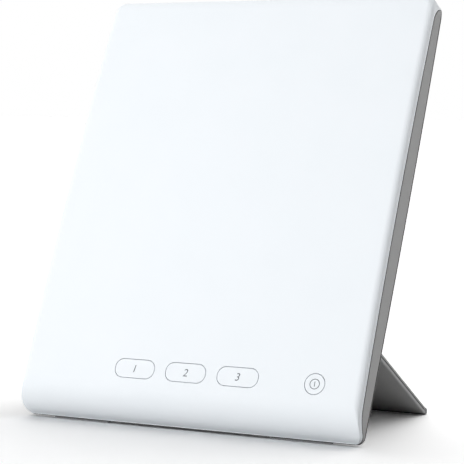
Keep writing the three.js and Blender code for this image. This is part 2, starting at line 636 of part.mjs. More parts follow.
function ledBar(z) {
  const tall = LED_BOARD_HEIGHT / 2;
  const board = block([-BAR_HALF_WIDTH, LED_BOARD_FRONT, z - tall],
    [BAR_HALF_WIDTH, LED_BOARD_REAR, z + tall]);
  const pitch = 2 * BAR_HALF_WIDTH / LEDS_PER_BAR;
  const half = LED_SIZE / 2;
  const chips = upTo(LEDS_PER_BAR).map((i) => {
    const x = (i + 0.5) * pitch - BAR_HALF_WIDTH;
    return block([x - half, LED_BOARD_FRONT - LED_PROUD, z - half],
      [x + half, LED_BOARD_FRONT + WELD, z + half]);
  });
  return unite([board, ...chips]);
}

function diffuserSheet() {
  const shape = roundedShape(TRAY_HALF_WIDTH, TRAY_BOTTOM, TRAY_TOP, TRAY_MARGIN);
  return prism(shape, DIFFUSER_FRONT, DIFFUSER_REAR);
}

function driverBoard() {
  const [from, to] = [DRIVER_REAR - WELD, DRIVER_REAR + COMPONENT_DEPTH];
  const board = block([-DRIVER_HALF_WIDTH, DRIVER_FRONT, DRIVER_BOTTOM],
    [DRIVER_HALF_WIDTH, DRIVER_REAR, DRIVER_TOP]);
  const half = CONNECTOR_WIDTH / 2;
  const connectors = [POWER_CONNECTOR_X, RIBBON_X].map((x) => (
    block([x - half, from, DRIVER_BOTTOM], [x + half, to, DRIVER_BOTTOM + CONNECTOR_HEIGHT])));
  const coils = [-COIL_SPACING, 0, COIL_SPACING].map((x) => rod(x, LED_LEAD_HEIGHT, COIL_RADIUS, from, to));
  const capacitors = [-CAPACITOR_X, CAPACITOR_X].map((x) => (
    rod(x, DRIVER_TOP - CAPACITOR_INSET, CAPACITOR_RADIUS, from, to)));
  const holes = standoffPlaces.map(({ x, z }) => (
    rod(x, z, STANDOFF_PIN_RADIUS + CLEARANCE, DRIVER_FRONT - WELD, DRIVER_REAR + WELD)));
  return carve(unite([board, ...connectors, ...coils, ...capacitors]), holes);
}

// The socket: a square body with a flange that bears on the housing's tube, and a pin in its bore
function dcInlet() {
  const square = (half, from, to) => (
    block([INLET_X - half, from, INLET_HEIGHT_UP - half], [INLET_X + half, to, INLET_HEIGHT_UP + half]));
  const body = square(INLET_HALF, INLET_FRONT, INLET_MOUTH);
  const flange = square(INLET_HALF + INLET_FLANGE, INLET_FLANGE_REAR - INLET_FLANGE, INLET_FLANGE_REAR);
  const boreEnd = INLET_MOUTH - INLET_BORE_DEPTH;
  const bore = rod(INLET_X, INLET_HEIGHT_UP, INLET_BORE_RADIUS, boreEnd, INLET_MOUTH + WELD);
  const pinEnd = INLET_MOUTH - INLET_PIN_SETBACK;
  const pin = rod(INLET_X, INLET_HEIGHT_UP, INLET_PIN_RADIUS, boreEnd - WELD, pinEnd);
  return body.add(flange).subtract(bore).add(pin);
}

// The housing: a shell open to the front, with what stands up from the inside of its back
function housingWalls() {
  const keep = 1 - Math.SQRT1_2;
  const at = (inset, depth) => ring(panelOutline, inset, depth);
  const inside = (z) => back(z) - HOUSING_WALL;
  const rim = (z, point) => seamDepth(point.z) + SEAM_GAP;
  const shell = loft([
    at(BACK_FILLET, back), at(BACK_FILLET * keep, (z) => back(z) - BACK_FILLET * keep),
    at(0, (z) => back(z) - BACK_FILLET), at(0, rim), at(HOUSING_WALL, rim), at(HOUSING_WALL, inside),
  ], false);
  const pocketWall = block([-POCKET_HALF_WIDTH - WELD, POCKET_FLOOR_FRONT, POCKET_BOTTOM - HOUSING_WALL],
    [POCKET_HALF_WIDTH + WELD, inside(HINGE_UP) + WELD, POCKET_WALL_TOP]);
  const scoopShape = roundedShape(SCOOP_HALF_WIDTH + HOUSING_WALL, POCKET_TOP - SCOOP_HEIGHT,
    SCOOP_TOP + HOUSING_WALL, SCOOP_CORNER + HOUSING_WALL);
  const scoopWall = prism(scoopShape, SCOOP_DEPTH - HOUSING_WALL, inside(HINGE_UP) + WELD);
  const half = WELL_HALF + INLET_TUBE_WALL;
  const tube = block([INLET_X - half, INLET_FLANGE_REAR + CLEARANCE, INLET_HEIGHT_UP - half],
    [INLET_X + half, inside(INLET_HEIGHT_UP) + WELD, INLET_HEIGHT_UP + half]);
  const pillars = screwPlaces.map(({ x, z }) => rod(x, z, PILLAR_RADIUS, PILLAR_FRONT, inside(z) + WELD));
  return unite([shell, pocketWall, scoopWall, tube, ...pillars]);
}

// What is cut out of the housing: the pocket and its scoop, the inlet's well, and places for screws and ears
function rearHousing() {
  const outside = THICKNESS + OVERRUN;
  const pocket = block([-POCKET_HALF_WIDTH, POCKET_DEPTH, POCKET_BOTTOM],
    [POCKET_HALF_WIDTH, outside, POCKET_TOP]);
  const scoopShape = roundedShape(SCOOP_HALF_WIDTH, POCKET_TOP - SCOOP_HEIGHT, SCOOP_TOP, SCOOP_CORNER);
  const scoop = prism(scoopShape, SCOOP_DEPTH, outside);
  const well = block([INLET_X - WELL_HALF, INLET_FLANGE_REAR, INLET_HEIGHT_UP - WELL_HALF],
    [INLET_X + WELL_HALF, outside, INLET_HEIGHT_UP + WELL_HALF]);
  const screwCuts = screwPlaces.flatMap(({ x, z }) => [
    rod(x, z, WELL_RADIUS, PILLAR_FRONT + PILLAR_FLOOR, outside),
    rod(x, z, SCREW_RADIUS + SCREW_PLAY, FRAME_REAR, outside),
  ]);
  const floorFront = POCKET_FLOOR_FRONT - WELD;
  const floorRear = POCKET_DEPTH + WELD;
  const reach = KNUCKLE_RADIUS + CLEARANCE;
  const slots = [-HINGE_X, HINGE_X].flatMap(earSpans).map(([from, to]) => (
    block([from - CLEARANCE, floorFront, HINGE_UP - reach], [to + CLEARANCE, floorRear, HINGE_UP + reach])));
  const sinkFront = POCKET_DEPTH - SMALL_HEAD_HEIGHT - SCREW_PLAY;
  const bracketHoles = bracketScrewPlaces.flatMap(({ x, z }) => [
    rod(x, z, SMALL_SCREW_RADIUS + SCREW_PLAY, floorFront, floorRear),
    rod(x, z, SMALL_HEAD_RADIUS + CLEARANCE, sinkFront, floorRear),
  ]);
  return carve(housingWalls(), [pocket, scoop, well, ...screwCuts, ...slots, ...bracketHoles]);
}

// A bracket behind the pocket's floor: its two ears come through the floor and hold the pin
function hingeBracket(x) {
  const rear = POCKET_FLOOR_FRONT - CLEARANCE;
  const front = rear - BRACKET_THICKNESS;
  const plate = block([x - BRACKET_HALF_WIDTH, front, HINGE_UP - BRACKET_BELOW],
    [x + BRACKET_HALF_WIDTH, rear, HINGE_UP + BRACKET_ABOVE]);
  const ears = earSpans(x).map(([from, to]) => {
    const web = block([from, front, HINGE_UP - KNUCKLE_RADIUS], [to, AXIS_DEPTH, HINGE_UP + KNUCKLE_RADIUS]);
    return web.add(crossRod(AXIS_DEPTH, HINGE_UP, KNUCKLE_RADIUS, from, to));
  });
  const [left, right] = [x - BRACKET_HALF_WIDTH, x + BRACKET_HALF_WIDTH];
  const bore = crossRod(AXIS_DEPTH, HINGE_UP, PIN_RADIUS + PIN_CLEARANCE, left, right);
  const holes = bracketScrewPlaces.map((spot) => (
    rod(spot.x, spot.z, SMALL_SCREW_RADIUS + SCREW_PLAY, front - WELD, rear + WELD)));
  return carve(unite([plate, ...ears]), [bore, ...holes]);
}

function hingePin(x) {
  const half = KNUCKLE_LENGTH / 2 + CLEARANCE + EAR_THICKNESS + PIN_PROUD;
  return crossRod(AXIS_DEPTH, HINGE_UP, PIN_RADIUS, x - half, x + half);
}

// A leaf: a knuckle on the pin, and a tongue clamped between the two shells of the flap
function hingeLeaf(x) {
  const [left, right] = [x - KNUCKLE_LENGTH / 2, x + KNUCKLE_LENGTH / 2];
  const knuckle = crossRod(0, 0, KNUCKLE_RADIUS, left, right);
  const tongue = block([left, 0, -LEAF_THICKNESS / 2], [right, LEAF_LENGTH, LEAF_THICKNESS / 2]);
  const bore = crossRod(0, 0, PIN_RADIUS + PIN_CLEARANCE, left - WELD, right + WELD);
  return knuckle.add(tongue).subtract(bore);
}

// A screw with a socket in its head: its shank points to -y from the underside of the head at y = 0
function screw(radius, length, headRadius, headHeight) {
  const socket = radius * SOCKET_SHARE;
  const profile = [[0, -length], [radius, radius - length], [radius, 0], [headRadius, 0],
    [headRadius, headHeight], [socket, headHeight], [socket, headHeight / 2], [0, headHeight / 2]];
  return solid(new THREE.LatheGeometry(profile.map(([x, y]) => new THREE.Vector2(x, y)), ROD_SIDES));
}

// A block of a flap shell, its z counted from the middle plane: side is 1 for the outer shell, else -1
function slab(side, [x0, y0, z0], [x1, y1, z1]) {
  return side > 0 ? block([x0, y0, z0], [x1, y1, z1]) : block([x0, y0, -z1], [x1, y1, -z0]);
}

// The hollows of a shell, between its rim, its ribs and its screw bosses
function flapHollow(side) {
  const ceiling = FLAP_THICKNESS / 2 - FLAP_SKIN;
  const pitch = 2 * (FLAP_HALF_WIDTH - FLAP_RIM) / FLAP_BAYS;
  const bays = upTo(FLAP_BAYS).map((i) => {
    const left = FLAP_RIM - FLAP_HALF_WIDTH + i * pitch;
    return slab(side, [left + FLAP_RIM / 2, NOTCH_REACH + FLAP_RIM, 0],
      [left + pitch - FLAP_RIM / 2, FLAP_END - FLAP_RIM, ceiling]);
  });
  const bosses = standScrewPlaces.map(({ x, y }) => (
    slab(side, [x - FLAP_RIM, y - FLAP_RIM, 0], [x + FLAP_RIM, y + FLAP_RIM, ceiling])));
  return carve(unite(bays), bosses);
}

function flapShell(side) {
  const half = FLAP_HALF_WIDTH;
  const surface = FLAP_THICKNESS / 2;
  const barrel = crossRod(0, 0, surface, -half, half);
  const plate = slab(side, [-half, 0, 0], [half, FLAP_END, surface]);
  const otherSide = slab(side, [-half - WELD, -FLAP_THICKNESS, -FLAP_THICKNESS],
    [half + WELD, FLAP_LENGTH, FLAP_SPLIT / 2]);
  const notch = KNUCKLE_LENGTH / 2 + EAR_THICKNESS + CLEARANCE + NOTCH_GAP;
  const seat = KNUCKLE_LENGTH / 2 + CLEARANCE;
  const hingeCuts = [-HINGE_X, HINGE_X].flatMap((x) => [
    slab(side, [x - notch, -FLAP_THICKNESS, -FLAP_THICKNESS], [x + notch, NOTCH_REACH, FLAP_THICKNESS]),
    slab(side, [x - seat, 0, 0], [x + seat, LEAF_LENGTH + CLEARANCE, LEAF_THICKNESS / 2 + CLEARANCE]),
  ]);
  const slotHalf = half - FLAP_RIM + CLEARANCE;
  const slotDepth = FOOT_TONGUE_THICKNESS / 2 + CLEARANCE;
  const footSlot = slab(side, [-slotHalf, FLAP_END - FOOT_TONGUE - CLEARANCE, 0],
    [slotHalf, FLAP_END + WELD, slotDepth]);
  return carve(barrel.add(plate), [otherSide, flapHollow(side), ...hingeCuts, footSlot]);
}

function outerFlap() {
  const reach = STAND_HEAD_SEAT + STAND_SCREW_LENGTH + CLEARANCE;
  const radius = SMALL_SCREW_RADIUS + SCREW_PLAY;
  return carve(flapShell(1), standScrewPlaces.map(({ x, y }) => throughRod(x, y, radius, -reach, reach)));
}

function innerFlap() {
  return carve(flapShell(-1), standScrewPlaces.flatMap(({ x, y }) => [
    throughRod(x, y, SMALL_SCREW_RADIUS + SCREW_PLAY, -FLAP_THICKNESS, FLAP_THICKNESS),
    throughRod(x, y, SMALL_HEAD_RADIUS + CLEARANCE, -FLAP_THICKNESS, STAND_HEAD_SEAT),
  ]));
}

// An arc of points about a centre, where a flat towards `flatTurn` cuts the round back by `flat`
function flattenedArc(centre, radius, from, to, flatTurn, flat) {
  const spread = Math.acos((radius - flat) / radius);
  const steps = 2 * CORNER_STEPS;
  const turns = upTo(steps + 1).map((i) => from + (to - from) * i / steps);
  const kept = turns.filter((turn) => Math.abs(turn - flatTurn) > spread);
  kept.push(flatTurn - spread, flatTurn + spread);
  kept.sort((a, b) => a - b);
  return kept.map((turn) => [centre[0] + radius * Math.cos(turn), centre[1] + radius * Math.sin(turn)]);
}

// The rubber strip round the flap's end, flat where it meets the table, with a tongue between the shells
function footStrip() {
  const start = FLAP_LENGTH - FOOT_STRIP;
  const tongue = FOOT_TONGUE_THICKNESS / 2;
  const quarter = Math.PI / 2;
  const flatTurn = FLAP_SLOPE - quarter;
  const nose = flattenedArc([FOOT_CENTRE, 0], FOOT_RADIUS, -quarter, quarter, flatTurn, FOOT_FLAT);
  const outline = [[start, -tongue], [start, -FOOT_RADIUS], ...nose, [start, FOOT_RADIUS], [start, tongue]];
  const strip = crossPrism(outline, -FLAP_HALF_WIDTH, FLAP_HALF_WIDTH);
  const inner = FLAP_HALF_WIDTH - FLAP_RIM;
  return strip.add(block([-inner, start - FOOT_TONGUE, -tongue], [inner, start + WELD, tongue]));
}

// A rubber pad wrapped round the lower back edge of the housing, flat where it meets the table
function rubberPad(x) {
  const centre = [PAD_CENTRE_DEPTH, BACK_FILLET];
  const inner = BACK_FILLET + PAD_GAP;
  const flatTurn = LEAN - Math.PI / 2;
  const outside = flattenedArc(centre, PAD_RADIUS, -Math.PI / 2, 0, flatTurn, PAD_FLAT);
  const inside = flattenedArc(centre, inner, -Math.PI / 2, 0, flatTurn, 0).reverse();
  const front = PAD_CENTRE_DEPTH - PAD_FRONT_REACH;
  const outline = [[front, BACK_FILLET - inner], [front, BACK_FILLET - PAD_RADIUS], ...outside,
    [PAD_CENTRE_DEPTH + PAD_RADIUS, PAD_BACK_REACH], [PAD_CENTRE_DEPTH + inner, PAD_BACK_REACH], ...inside];
  return crossPrism(outline, x - PAD_LENGTH / 2, x + PAD_LENGTH / 2);
}

// Leads, on routes that keep to the space behind the chassis plate until they are past the pocket
function powerLead() {
  const start = INLET_HEIGHT_UP + INLET_HALF + CLEARANCE;
  const depth = INLET_FRONT + 2 * LEAD_RADIUS;
  const end = DRIVER_BOTTOM - CLEARANCE;
  const channel = [CHASSIS_BOTTOM + LEAD_BEND / 2, HINGE_UP, (HINGE_UP + POCKET_TOP) / 2, POCKET_TOP,
    POCKET_WALL_TOP];
  return lead([
    [INLET_X, depth, start],
    [INLET_X, depth, start + LEAD_BEND / 2],
    [(INLET_X + POWER_LEAD_X) / 2, LEAD_CHANNEL, CHASSIS_BOTTOM - LEAD_BEND / 2],
    ...channel.map((z) => [POWER_LEAD_X, LEAD_CHANNEL, z]),
    [(POWER_LEAD_X + POWER_CONNECTOR_X) / 2, (LEAD_CHANNEL + CONNECTOR_MIDDLE) / 2,
      (POCKET_WALL_TOP + end) / 2],
    [POWER_CONNECTOR_X, CONNECTOR_MIDDLE, end - LEAD_BEND / 2],
    [POWER_CONNECTOR_X, CONNECTOR_MIDDLE, end],
  ], LEAD_RADIUS);
}

function ledLead() {
  const down = lead(barHeights.map((z) => [LED_LEAD_X, LED_LEAD_DEPTH, z]), LED_LEAD_RADIUS);
  const across = lead([
    [LED_LEAD_X, LED_LEAD_DEPTH, LED_LEAD_HEIGHT],
    [LED_LEAD_X, CHASSIS_REAR, LED_LEAD_HEIGHT],
    [LED_LEAD_X + LEAD_BEND / 2, DRIVER_FRONT, LED_LEAD_HEIGHT],
    [-DRIVER_HALF_WIDTH - CLEARANCE, DRIVER_FRONT + BOARD_THICKNESS / 2, LED_LEAD_HEIGHT],
  ], LED_LEAD_RADIUS);
  return down.add(across);
}

function keyRibbon() {
  const middle = (KEY_BOARD_FRONT + KEY_BOARD_REAR) / 2;
  const top = KEYS_TOP + CLEARANCE;
  const route = [
    [middle, top],
    [middle, top + WELD],
    [LEAD_CHANNEL, CHASSIS_BOTTOM - LEAD_BEND / 2],
    [LEAD_CHANNEL, POCKET_WALL_TOP + LEAD_BEND / 2],
    [CONNECTOR_MIDDLE, DRIVER_BOTTOM - LEAD_BEND],
    [CONNECTOR_MIDDLE, DRIVER_BOTTOM - CLEARANCE],
  ];
  const half = RIBBON_THICKNESS / 2;
  const front = route.map(([y, z]) => [y - half, z]);
  const rear = route.map(([y, z]) => [y + half, z]).reverse();
  return crossPrism([...front, ...rear], RIBBON_X - RIBBON_WIDTH / 2, RIBBON_X + RIBBON_WIDTH / 2);
}

// The panel, leaned back
const lamp = new THREE.Group();
const panel = new THREE.Group();
panel.rotation.x = -LEAN;
panel.position.z = PANEL_RISE;
lamp.add(panel);

const shell = coverShell();
place(panel, "front_cover", frontCover(shell), OPAL);
place(panel, "rear_housing", rearHousing(), GREY_SHELL);
place(panel, "inner_frame", innerFrame(), WHITE_PLASTIC);
place(panel, "diffuser_sheet", diffuserSheet(), DIFFUSER);
place(panel, "reflector_tray", reflectorTray(), WHITE_PLASTIC);
place(panel, "chassis_plate", chassisPlate(), ALUMINIUM);
barHeights.forEach((z, i) => place(panel, `led_bar_${i + 1}`, ledBar(z), BOARD_WHITE));
place(panel, "driver_board", driverBoard(), BOARD_GREEN);
place(panel, "dc_inlet", dcInlet(), BLACK_PLASTIC);
place(panel, "power_lead", powerLead(), LEAD_SKIN);
place(panel, "led_lead", ledLead(), LEAD_SKIN);
place(panel, "key_ribbon", keyRibbon(), BOARD_WHITE);
place(panel, "key_carrier", keyCarrier(), WHITE_PLASTIC);
place(panel, "key_board", keyBoard(), BOARD_GREEN);
keys.forEach((key, i) => {
  place(panel, key.name, keyCap(key, shell), OPAL);
  place(panel, `key_switch_${i + 1}`, keySwitch(key), BLACK_PLASTIC);
  const plunger = rod(key.x, KEY_HEIGHT_UP, PLUNGER_RADIUS, PLUNGER_FRONT, PLUNGER_REAR);
  place(panel, `key_plunger_${i + 1}`, plunger, BLACK_PLASTIC);
});
screwPlaces.forEach(({ x, z }, i) => {
  const body = screw(SCREW_RADIUS, SCREW_LENGTH, SCREW_HEAD_RADIUS, SCREW_HEAD_HEIGHT);
  place(panel, `housing_screw_${i + 1}`, body, STEEL).position.set(x, SCREW_SEAT, z);
});
bracketScrewPlaces.forEach(({ x, z }, i) => {
  const body = screw(SMALL_SCREW_RADIUS, BRACKET_SCREW_LENGTH, SMALL_HEAD_RADIUS, SMALL_HEAD_HEIGHT);
  place(panel, `bracket_screw_${i + 1}`, body, STEEL).position.set(x, POCKET_DEPTH - SMALL_HEAD_HEIGHT, z);
});
[["left", -1], ["right", 1]].forEach(([hand, side]) => {
  place(panel, `hinge_bracket_${hand}`, hingeBracket(side * HINGE_X), STEEL);
  place(panel, `hinge_pin_${hand}`, hingePin(side * HINGE_X), STEEL);
  place(panel, `panel_foot_${hand}`, rubberPad(side * (WIDTH / 2 - PAD_INSET)), RUBBER);
});

// The flap, folded out until its foot meets the table
const stand = new THREE.Group();
stand.position.set(0, AXIS_DEPTH, HINGE_UP);
stand.rotation.x = LEAN - FLAP_SLOPE;
panel.add(stand);
place(stand, "stand_outer_shell", outerFlap(), GREY_SHELL);
place(stand, "stand_inner_shell", innerFlap(), GREY_SHELL);
place(stand, "stand_foot_strip", footStrip(), RUBBER);
place(stand, "hinge_leaf_left", hingeLeaf(-HINGE_X), STEEL);
place(stand, "hinge_leaf_right", hingeLeaf(HINGE_X), STEEL);
standScrewPlaces.forEach(({ x, y }, i) => {
  const body = screw(SMALL_SCREW_RADIUS, STAND_SCREW_LENGTH, SMALL_HEAD_RADIUS, SMALL_HEAD_HEIGHT);
  const mesh = place(stand, `stand_screw_${i + 1}`, body, STEEL);
  mesh.rotation.x = -Math.PI / 2;
  mesh.position.set(x, y, STAND_HEAD_SEAT);
});

// The origin goes under the middle of the lamp's box
lamp.updateMatrixWorld(true);
const bounds = new THREE.Box3().setFromObject(lamp, true);
panel.position.y = -(bounds.min.y + bounds.max.y) / 2;

export default lamp;
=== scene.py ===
import json
import math

import bmesh
import bpy
import numpy as np
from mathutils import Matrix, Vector
from mathutils.geometry import delaunay_2d_cdt


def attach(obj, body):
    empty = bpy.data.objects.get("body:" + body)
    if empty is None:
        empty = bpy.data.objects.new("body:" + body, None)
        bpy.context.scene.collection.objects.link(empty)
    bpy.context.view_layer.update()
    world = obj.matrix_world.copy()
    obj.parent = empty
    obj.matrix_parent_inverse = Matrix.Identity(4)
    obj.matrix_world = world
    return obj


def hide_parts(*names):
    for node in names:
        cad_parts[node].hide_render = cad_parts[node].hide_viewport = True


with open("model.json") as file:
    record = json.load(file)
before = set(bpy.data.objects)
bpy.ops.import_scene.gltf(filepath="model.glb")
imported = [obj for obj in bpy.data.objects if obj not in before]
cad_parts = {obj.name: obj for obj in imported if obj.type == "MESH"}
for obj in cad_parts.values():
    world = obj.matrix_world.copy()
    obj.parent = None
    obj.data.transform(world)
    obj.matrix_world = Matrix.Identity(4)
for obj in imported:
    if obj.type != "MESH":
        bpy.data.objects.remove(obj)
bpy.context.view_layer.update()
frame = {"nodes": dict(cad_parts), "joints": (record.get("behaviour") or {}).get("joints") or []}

# Camera: far off, a little above the lamp and well to the viewer's right of it, with a long lens.
# Its place is counted from the foot of the panel's front plane, which the hinge of the flap fixes.
LEAN = math.radians(26.9)
HEIGHT = 367.0
THICKNESS, BACK_BULGE = 31.3, 3.0
HINGE_UP = 73.0
FLAP_HALF = 2.75
hinge = next(joint for joint in frame["joints"] if joint["name"] == "stand_hinge")


def back(z):
    """Depth of the back face: the full thickness halfway up, and less towards both ends, by a parabola."""
    return THICKNESS - BACK_BULGE * (2 * z / HEIGHT - 1) ** 2


def coords(*parts):
    """Numbers and arrays joined as the coordinates of points."""
    return np.stack(np.broadcast_arrays(*parts), axis=-1)


def turned(points, angle):
    """Points (x, y backwards, z up) tipped backwards about the x axis."""
    x, y, z = np.moveaxis(np.asarray(points, float), -1, 0)
    cos, sin = math.cos(angle), math.sin(angle)
    return coords(x, y * cos + z * sin, z * cos - y * sin)


AXIS_DEPTH = back(HINGE_UP) - FLAP_HALF
pivot = 1000 * np.array(hinge["pos_m"])
panel_foot = pivot - turned([0, AXIS_DEPTH, HINGE_UP], LEAN)


def lean(points):
    """Panel points in mm (x across, y behind the front plane, z up the panel) as places in metres."""
    return (turned(points, LEAN) + panel_foot) / 1000


def put_in(name, data):
    """An object with this data, linked into the scene."""
    thing = bpy.data.objects.new(name, data)
    bpy.context.scene.collection.objects.link(thing)
    return thing


CAMERA_PLACE = (610.6, -1143.61, 249.52)
CAMERA_LOOK = (-0.4392, 0.8945, -0.0830)
camera_data = bpy.data.cameras.new("camera")
camera_data.sensor_width = 36
camera_data.lens = 134.75
camera_data.clip_end = 50
camera = put_in("camera", camera_data)
camera.location = (panel_foot + CAMERA_PLACE) / 1000
camera.rotation_euler = Vector(CAMERA_LOOK).to_track_quat("-Z", "Y").to_euler()
bpy.context.scene.camera = camera

# Front cover: the light-giving face, one injection moulding in opal acrylic, 2.4 mm thick and polished in the
# mould. Its front is a little bulged from foot to top, wraps round all four edges, and rolls right back along
# the foot. It snaps onto the inner frame, and the four keys come through holes in it.
HALF_WIDTH, CORNER, SIDE_ROUND, COVER_WALL = 145.0, 6.0, 5.0, 2.4
TOP_CORNER, CORNER_POWER, SIDE_EASE = 14.0, 8, 0.55
INSIDE_SHARE, REAR_SHARE, REAR_INSIDE_SHARE = 0.35, 0.35, 0.2
FRONT_BULGE, SKIN_BACK = 4.9, 0.06
BOTTOM_ROLL, TOP_ROLL, LIP = 26.0, 10.0, 2.7
SEAM_DEPTH, SEAM_TURN, SEAM_LAND, SEAM_BLEND = 8.2, 16.0, 0.5, 8.0
RIM_ROUND, RIM_SHORT = 0.3, 0.5
KEY_UP, KEY_GAP, HOLE_ROUND = 36.6, 0.5, 0.15
PILL = {"up": 37.7, "core": (10.2, 0.5), "corner": 6.75, "cell": 22.15}
KEYS = [{"name": f"key_{i}", "x": x, **PILL} for i, x in enumerate((-44.6, -0.3, 44.0), 1)]
KEYS.append({"name": "power_key", "x": 107.3, "up": 37.1, "core": (0.0, 0.0), "corner": 7.8, "cell": 14.0})
CELL_HALF_HEIGHT = 14.0
LOW_ROWS, KEY_ROWS, HIGH_ROWS = 14, 25, 60
KEY_PITCH, SIDE_PITCH = 1.2, 5
WAYS_IN = (0.3, 0.55, 0.75, 0.88, 0.96, 1)
SHARP_ANGLE = math.radians(32)


def crown(z):
    """Depth of the bulged front: nothing halfway up, growing by a parabola to FRONT_BULGE at both ends."""
    return FRONT_BULGE * (2 * z / HEIGHT - 1) ** 2


def roll(x, radius):
    """Drop of a quarter circle at x in from its edge: radius - sqrt(radius^2 - (radius - x)^2)."""
    left = np.maximum(0, radius - np.maximum(0, x))
    return radius - np.sqrt(radius ** 2 - left ** 2)


LIP_FRONT = back(0) - LIP
ROLL_DROP = LIP_FRONT - crown(0)
ROLL_START = BOTTOM_ROLL - math.sqrt(BOTTOM_ROLL ** 2 - (BOTTOM_ROLL - ROLL_DROP) ** 2)


def front_depth(z, edge=0.0, wall=0.0):
    """Depth of the front, or of the inside of its wall: crown, plus the fourth root of the summed fourth
    powers of the side's round and the rolls at foot and top. SKIN_BACK keeps this smooth skin inside the
    faceted solid's box."""
    foot = roll(z - wall + ROLL_START, BOTTOM_ROLL - wall)
    top = roll(HEIGHT - z - wall, TOP_ROLL - wall)
    return crown(z) + SKIN_BACK + wall + (edge ** 4 + foot ** 4 + top ** 4) ** 0.25


def seam_depth(z):
    """Depth of the seam: SEAM_DEPTH behind the front and its rolls, blended by powers into the back lip."""
    turn = roll(HEIGHT - CORNER - z, SEAM_TURN)
    along = crown(z) + roll(z + ROLL_START, BOTTOM_ROLL) + turn + SEAM_DEPTH
    return (along ** -SEAM_BLEND + LIP_FRONT ** -SEAM_BLEND) ** (-1 / SEAM_BLEND)


def merge_doubles(mesh, reach=1e-7, flat=0):
    """Merge a mesh's doubled points, join faces that meet flatter than an angle, and turn all outwards."""
    shaped = bmesh.new()
    shaped.from_mesh(mesh)
    bmesh.ops.remove_doubles(shaped, verts=shaped.verts, dist=reach)
    if flat:
        bmesh.ops.dissolve_limit(shaped, angle_limit=flat, verts=shaped.verts, edges=shaped.edges)
    bmesh.ops.recalc_face_normals(shaped, faces=shaped.faces)
    shaped.to_mesh(mesh)
    shaped.free()


def joined(*parts):
    """Arrays end to end."""
    return np.concatenate(parts)


def at_depth(spots, depth):
    """Plan points (x, height) at one depth, or at a depth each."""
    return coords(spots[:, 0], depth, spots[:, 1])


class Skin:
    """Points (x, depth, height) in mm and faces, gathered strip by strip and made into one mesh."""

    def __init__(self):
        self.points, self.faces, self.marked, self.count = [], [], [], 0

    def add(self, points):
        """Keep an array of points and give back their numbers, laid out as the points are."""
        numbers = self.count + np.arange(points[..., 0].size).reshape(points.shape[:-1])
        self.points.append(points.reshape(-1, 3))
        self.count += numbers.size
        return numbers

    def sew(self, rows, around=False, keep=None):
        """Quads between neighbours in a grid of numbers. Around: the last column joins the first."""
        if around:
            rows = np.concatenate([rows, rows[:, :1]], axis=1)
        quads = np.stack([rows[:-1, :-1], rows[:-1, 1:], rows[1:, 1:], rows[1:, :-1]], axis=-1)
        self.faces.append((quads if keep is None else quads[keep]).reshape(-1, 4))

    def band(self, *rings, mark=False):
        """Sew closed rings of points, or of numbers already kept, one to the next. Gives the last's numbers.
        A marked band takes the second material."""
        numbers = [ring if ring.ndim == 1 else self.add(ring) for ring in rings]
        if mark:
            self.marked.append(len(self.faces))
        self.sew(np.stack(numbers), around=True)
        return numbers[-1]

    def tube(self, *rings):
        """A band of new rings: the numbers of its two ends."""
        first = self.add(rings[0])
        return first, self.band(first, *rings[1:])

    def plate(self, loops, inside, lift, spots=np.empty((0, 2)), margin=0.5):
        """Delaunay triangles on the plan (x, height) of closed loops, and of spare spots a margin in or more.
        inside(plan) says how far in a point lies. The spots' depth is lift, or lift(height)."""
        loop_numbers = np.concatenate(loops)
        spots = spots[inside(spots) > margin]
        plan = joined(np.concatenate(self.points)[loop_numbers][:, [0, 2]], spots)
        spare = self.add(at_depth(spots, lift(spots[:, 1]) if callable(lift) else lift))
        rows = np.split(np.arange(len(loop_numbers)), np.cumsum([len(loop) for loop in loops])[:-1])
        edges = np.concatenate([coords(row, np.roll(row, -1)) for row in rows])
        triangles = np.array(delaunay_2d_cdt(plan.tolist(), edges.tolist(), [], 1, 1e-6)[2])
        triangles = triangles[inside(plan[triangles].mean(axis=1)) > 0]
        self.faces.append(joined(loop_numbers, spare)[triangles])

    def make(self, name, place, *materials):
        """The mesh as an object: unused points dropped, doubles merged, edges sharp by their angle."""
        kept = np.unique(np.concatenate([block.ravel() for block in self.faces]))
        faces = [face for block in self.faces for face in np.searchsorted(kept, block).tolist()]
        mesh = bpy.data.meshes.new(name)
        mesh.from_pydata(place(np.concatenate(self.points)[kept]).tolist(), [], faces)
        for material in materials:
            mesh.materials.append(material)
        slots = [np.full(len(block), i in self.marked) for i, block in enumerate(self.faces)]
        mesh.polygons.foreach_set("material_index", np.concatenate(slots).astype(np.int32))
        merge_doubles(mesh)
        mesh.shade_smooth()
        mesh.set_sharp_from_angle(angle=SHARP_ANGLE)
        return put_in(name, mesh)


def srgb(code):
    """An sRGB hex colour as linear RGBA: ((c + 0.055) / 1.055)^2.4, or c / 12.92 in the darkest part."""
    parts = np.array([int(code[i:i + 2], 16) / 255 for i in (1, 3, 5)])
    linear = np.where(parts > 0.04045, ((parts + 0.055) / 1.055) ** 2.4, parts / 12.92)
    return (*linear, 1.0)


def add_node(tree, kind, inputs=None, **settings):
    """Add a node with its settings. Each input takes a value, or the socket that feeds it."""
    node = tree.nodes.new(kind)
    for key, value in settings.items():
        setattr(node, key, value)
    for key, value in (inputs or {}).items():
        if isinstance(value, bpy.types.NodeSocket):
            tree.links.new(value, node.inputs[key])
        else:
            node.inputs[key].default_value = value
    return node


